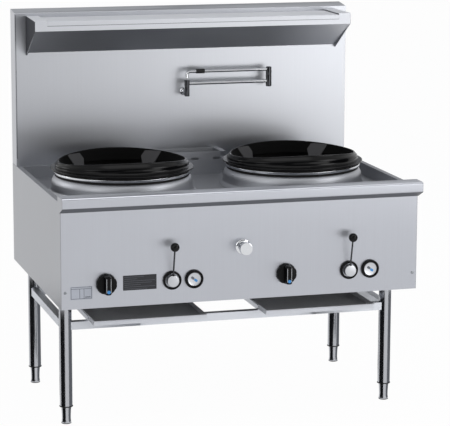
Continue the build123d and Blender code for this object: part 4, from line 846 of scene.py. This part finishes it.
def softbox(name, place, target, width, height, power, mirrored=True):
    """A large soft lamp that faces the target, and that metal mirrors unless mirrored is False.

    Places and sizes are in metres and the power in watts.
    """
    lamp = bpy.data.lights.new(name, "AREA")
    lamp.shape = "RECTANGLE"
    lamp.size = width
    lamp.size_y = height
    lamp.energy = power
    made = bpy.data.objects.new(name, lamp)
    scene.collection.objects.link(made)
    made.location = place
    made.rotation_euler = (Vector(target) - Vector(place)).to_track_quat("-Z", "Y").to_euler()
    made.visible_camera = False
    made.visible_glossy = mirrored


# the last one lights the drip trays from low in front
softbox("key_right", (2.9, -3.9, 1.15), (0.3, 0.3, 0.9), 2.6, 2.0, 40)
softbox("high_right", (4.0, -2.6, 3.6), (0.0, 0.0, 0.8), 2.2, 2.2, 60)
softbox("fill_left", (-4.5, -3.0, 2.6), (0.0, 0.0, 0.7), 2.4, 2.4, 30)
softbox("back_left", (-4.2, 2.4, 2.2), (-0.4, 0.0, 0.8), 1.6, 1.6, 26)
softbox("top", (0.0, -0.6, 4.2), (0.0, 0.0, 0.7), 3.0, 2.0, 26)
softbox("tray_fill", (0.3, -1.6, 0.75), (0.1, 0.0, 0.36), 1.8, 0.6, 3, mirrored=False)


def card(name, points, tone):
    """A grey card that only shows in reflections, to give polished steel its dark bands."""
    paint = bpy.data.materials.new(name)
    paint.use_nodes = True
    paint.node_tree.nodes.clear()
    grey = put(paint.node_tree, "ShaderNodeEmission", {}, {"Color": linear(tone), "Strength": 1.0})
    put(paint.node_tree, "ShaderNodeOutputMaterial", {}, {"Surface": grey.outputs[0]})
    count = len(points) // 2
    faces = [(k, k + 1, count + k + 1, count + k) for k in range(count - 1)]
    mesh = bpy.data.meshes.new(name)
    mesh.from_pydata([tuple(p) for p in points], [], faces)
    mesh.materials.append(paint)
    made = bpy.data.objects.new(name, mesh)
    scene.collection.objects.link(made)
    made.visible_camera = False
    made.visible_diffuse = False
    made.visible_shadow = False


def facing(place, target, width, height):
    """The corners of a rectangle that faces the target, the lower two first."""
    turn = (Vector(target) - Vector(place)).to_track_quat("Z", "Y")
    return [Vector(place) + turn @ Vector((a * width / 2, b * height / 2, 0))
            for b in (-1, 1) for a in (-1, 1)]


def around(leg_x, leg_y, bearings, bands):
    """Points round a leg in rows of (distance, height), at bearings counted from the front."""
    return [(leg_x * MM + reach * sin(radians(a)), leg_y * MM - reach * cos(radians(a)), height)
            for reach, height in bands for a in bearings]


# Beside each leg stand a dark and a grey card, and two more lie on the floor round it.
# They end below what the drip trays mirror.
CARD_REACH = 0.26
CARD_NEAR = 0.03
CARD_FOOT = 0.003
CARD_TOP = 0.33
card("card_by_camera", facing((-3.4, -6.6, 1.6), (0.0, 0.0, 1.2), 6.4, 3.2), "#55565A")
card("card_right", facing((4.2, -1.2, 1.0), (0.0, 0.0, 0.8), 3.4, 3.0), "#1C1D1F")
for leg_name, leg_x, leg_y in LEG_SPOTS:
    for shade, tone, bearings in (("dark", "#1C1D1F", (-108, -78, -50, -24)),
                                  ("grey", "#7E8084", (42, 75, 110, 140))):
        card("card_wall_" + shade + "_" + leg_name,
             around(leg_x, leg_y, bearings, ((CARD_REACH, CARD_FOOT), (CARD_REACH, CARD_TOP))), tone)
        card("card_floor_" + shade + "_" + leg_name,
             around(leg_x, leg_y, bearings, ((CARD_NEAR, CARD_FOOT), (CARD_REACH, CARD_FOOT))), tone)
card("card_behind", facing((1.2, 4.4, 2.4), (0.2, 0.4, 1.3), 4.6, 2.4), "#8A8C90")
card("card_high", facing((0.6, -3.4, 2.9), (0.0, 0.0, 0.8), 3.4, 1.6), "#2A2B2E")

# ------------------------------------------------------------ camera
# The photograph's camera, found from the straight edges of the body: metres and degrees.
CAMERA_AT = (-1.91818, -6.81924, 1.97603)
CAMERA_HEADING = -16.092
CAMERA_DOWN = 10.719
CAMERA_ROLL = 0.174
CAMERA_LENS = 169.87
camera = bpy.data.cameras.new("camera")
camera.sensor_fit = "HORIZONTAL"
camera.sensor_width = 36.0
camera.lens = CAMERA_LENS
camera.clip_start = 0.1
camera.clip_end = 200.0
viewer = bpy.data.objects.new("camera", camera)
scene.collection.objects.link(viewer)
viewer.matrix_world = (
    Matrix.Translation(CAMERA_AT)
    @ Matrix.Rotation(radians(CAMERA_HEADING), 4, "Z")
    @ Matrix.Rotation(radians(90 - CAMERA_DOWN), 4, "X")
    @ Matrix.Rotation(radians(CAMERA_ROLL), 4, "Z")
)
scene.camera = viewer
scene.view_settings.view_transform = "Standard"
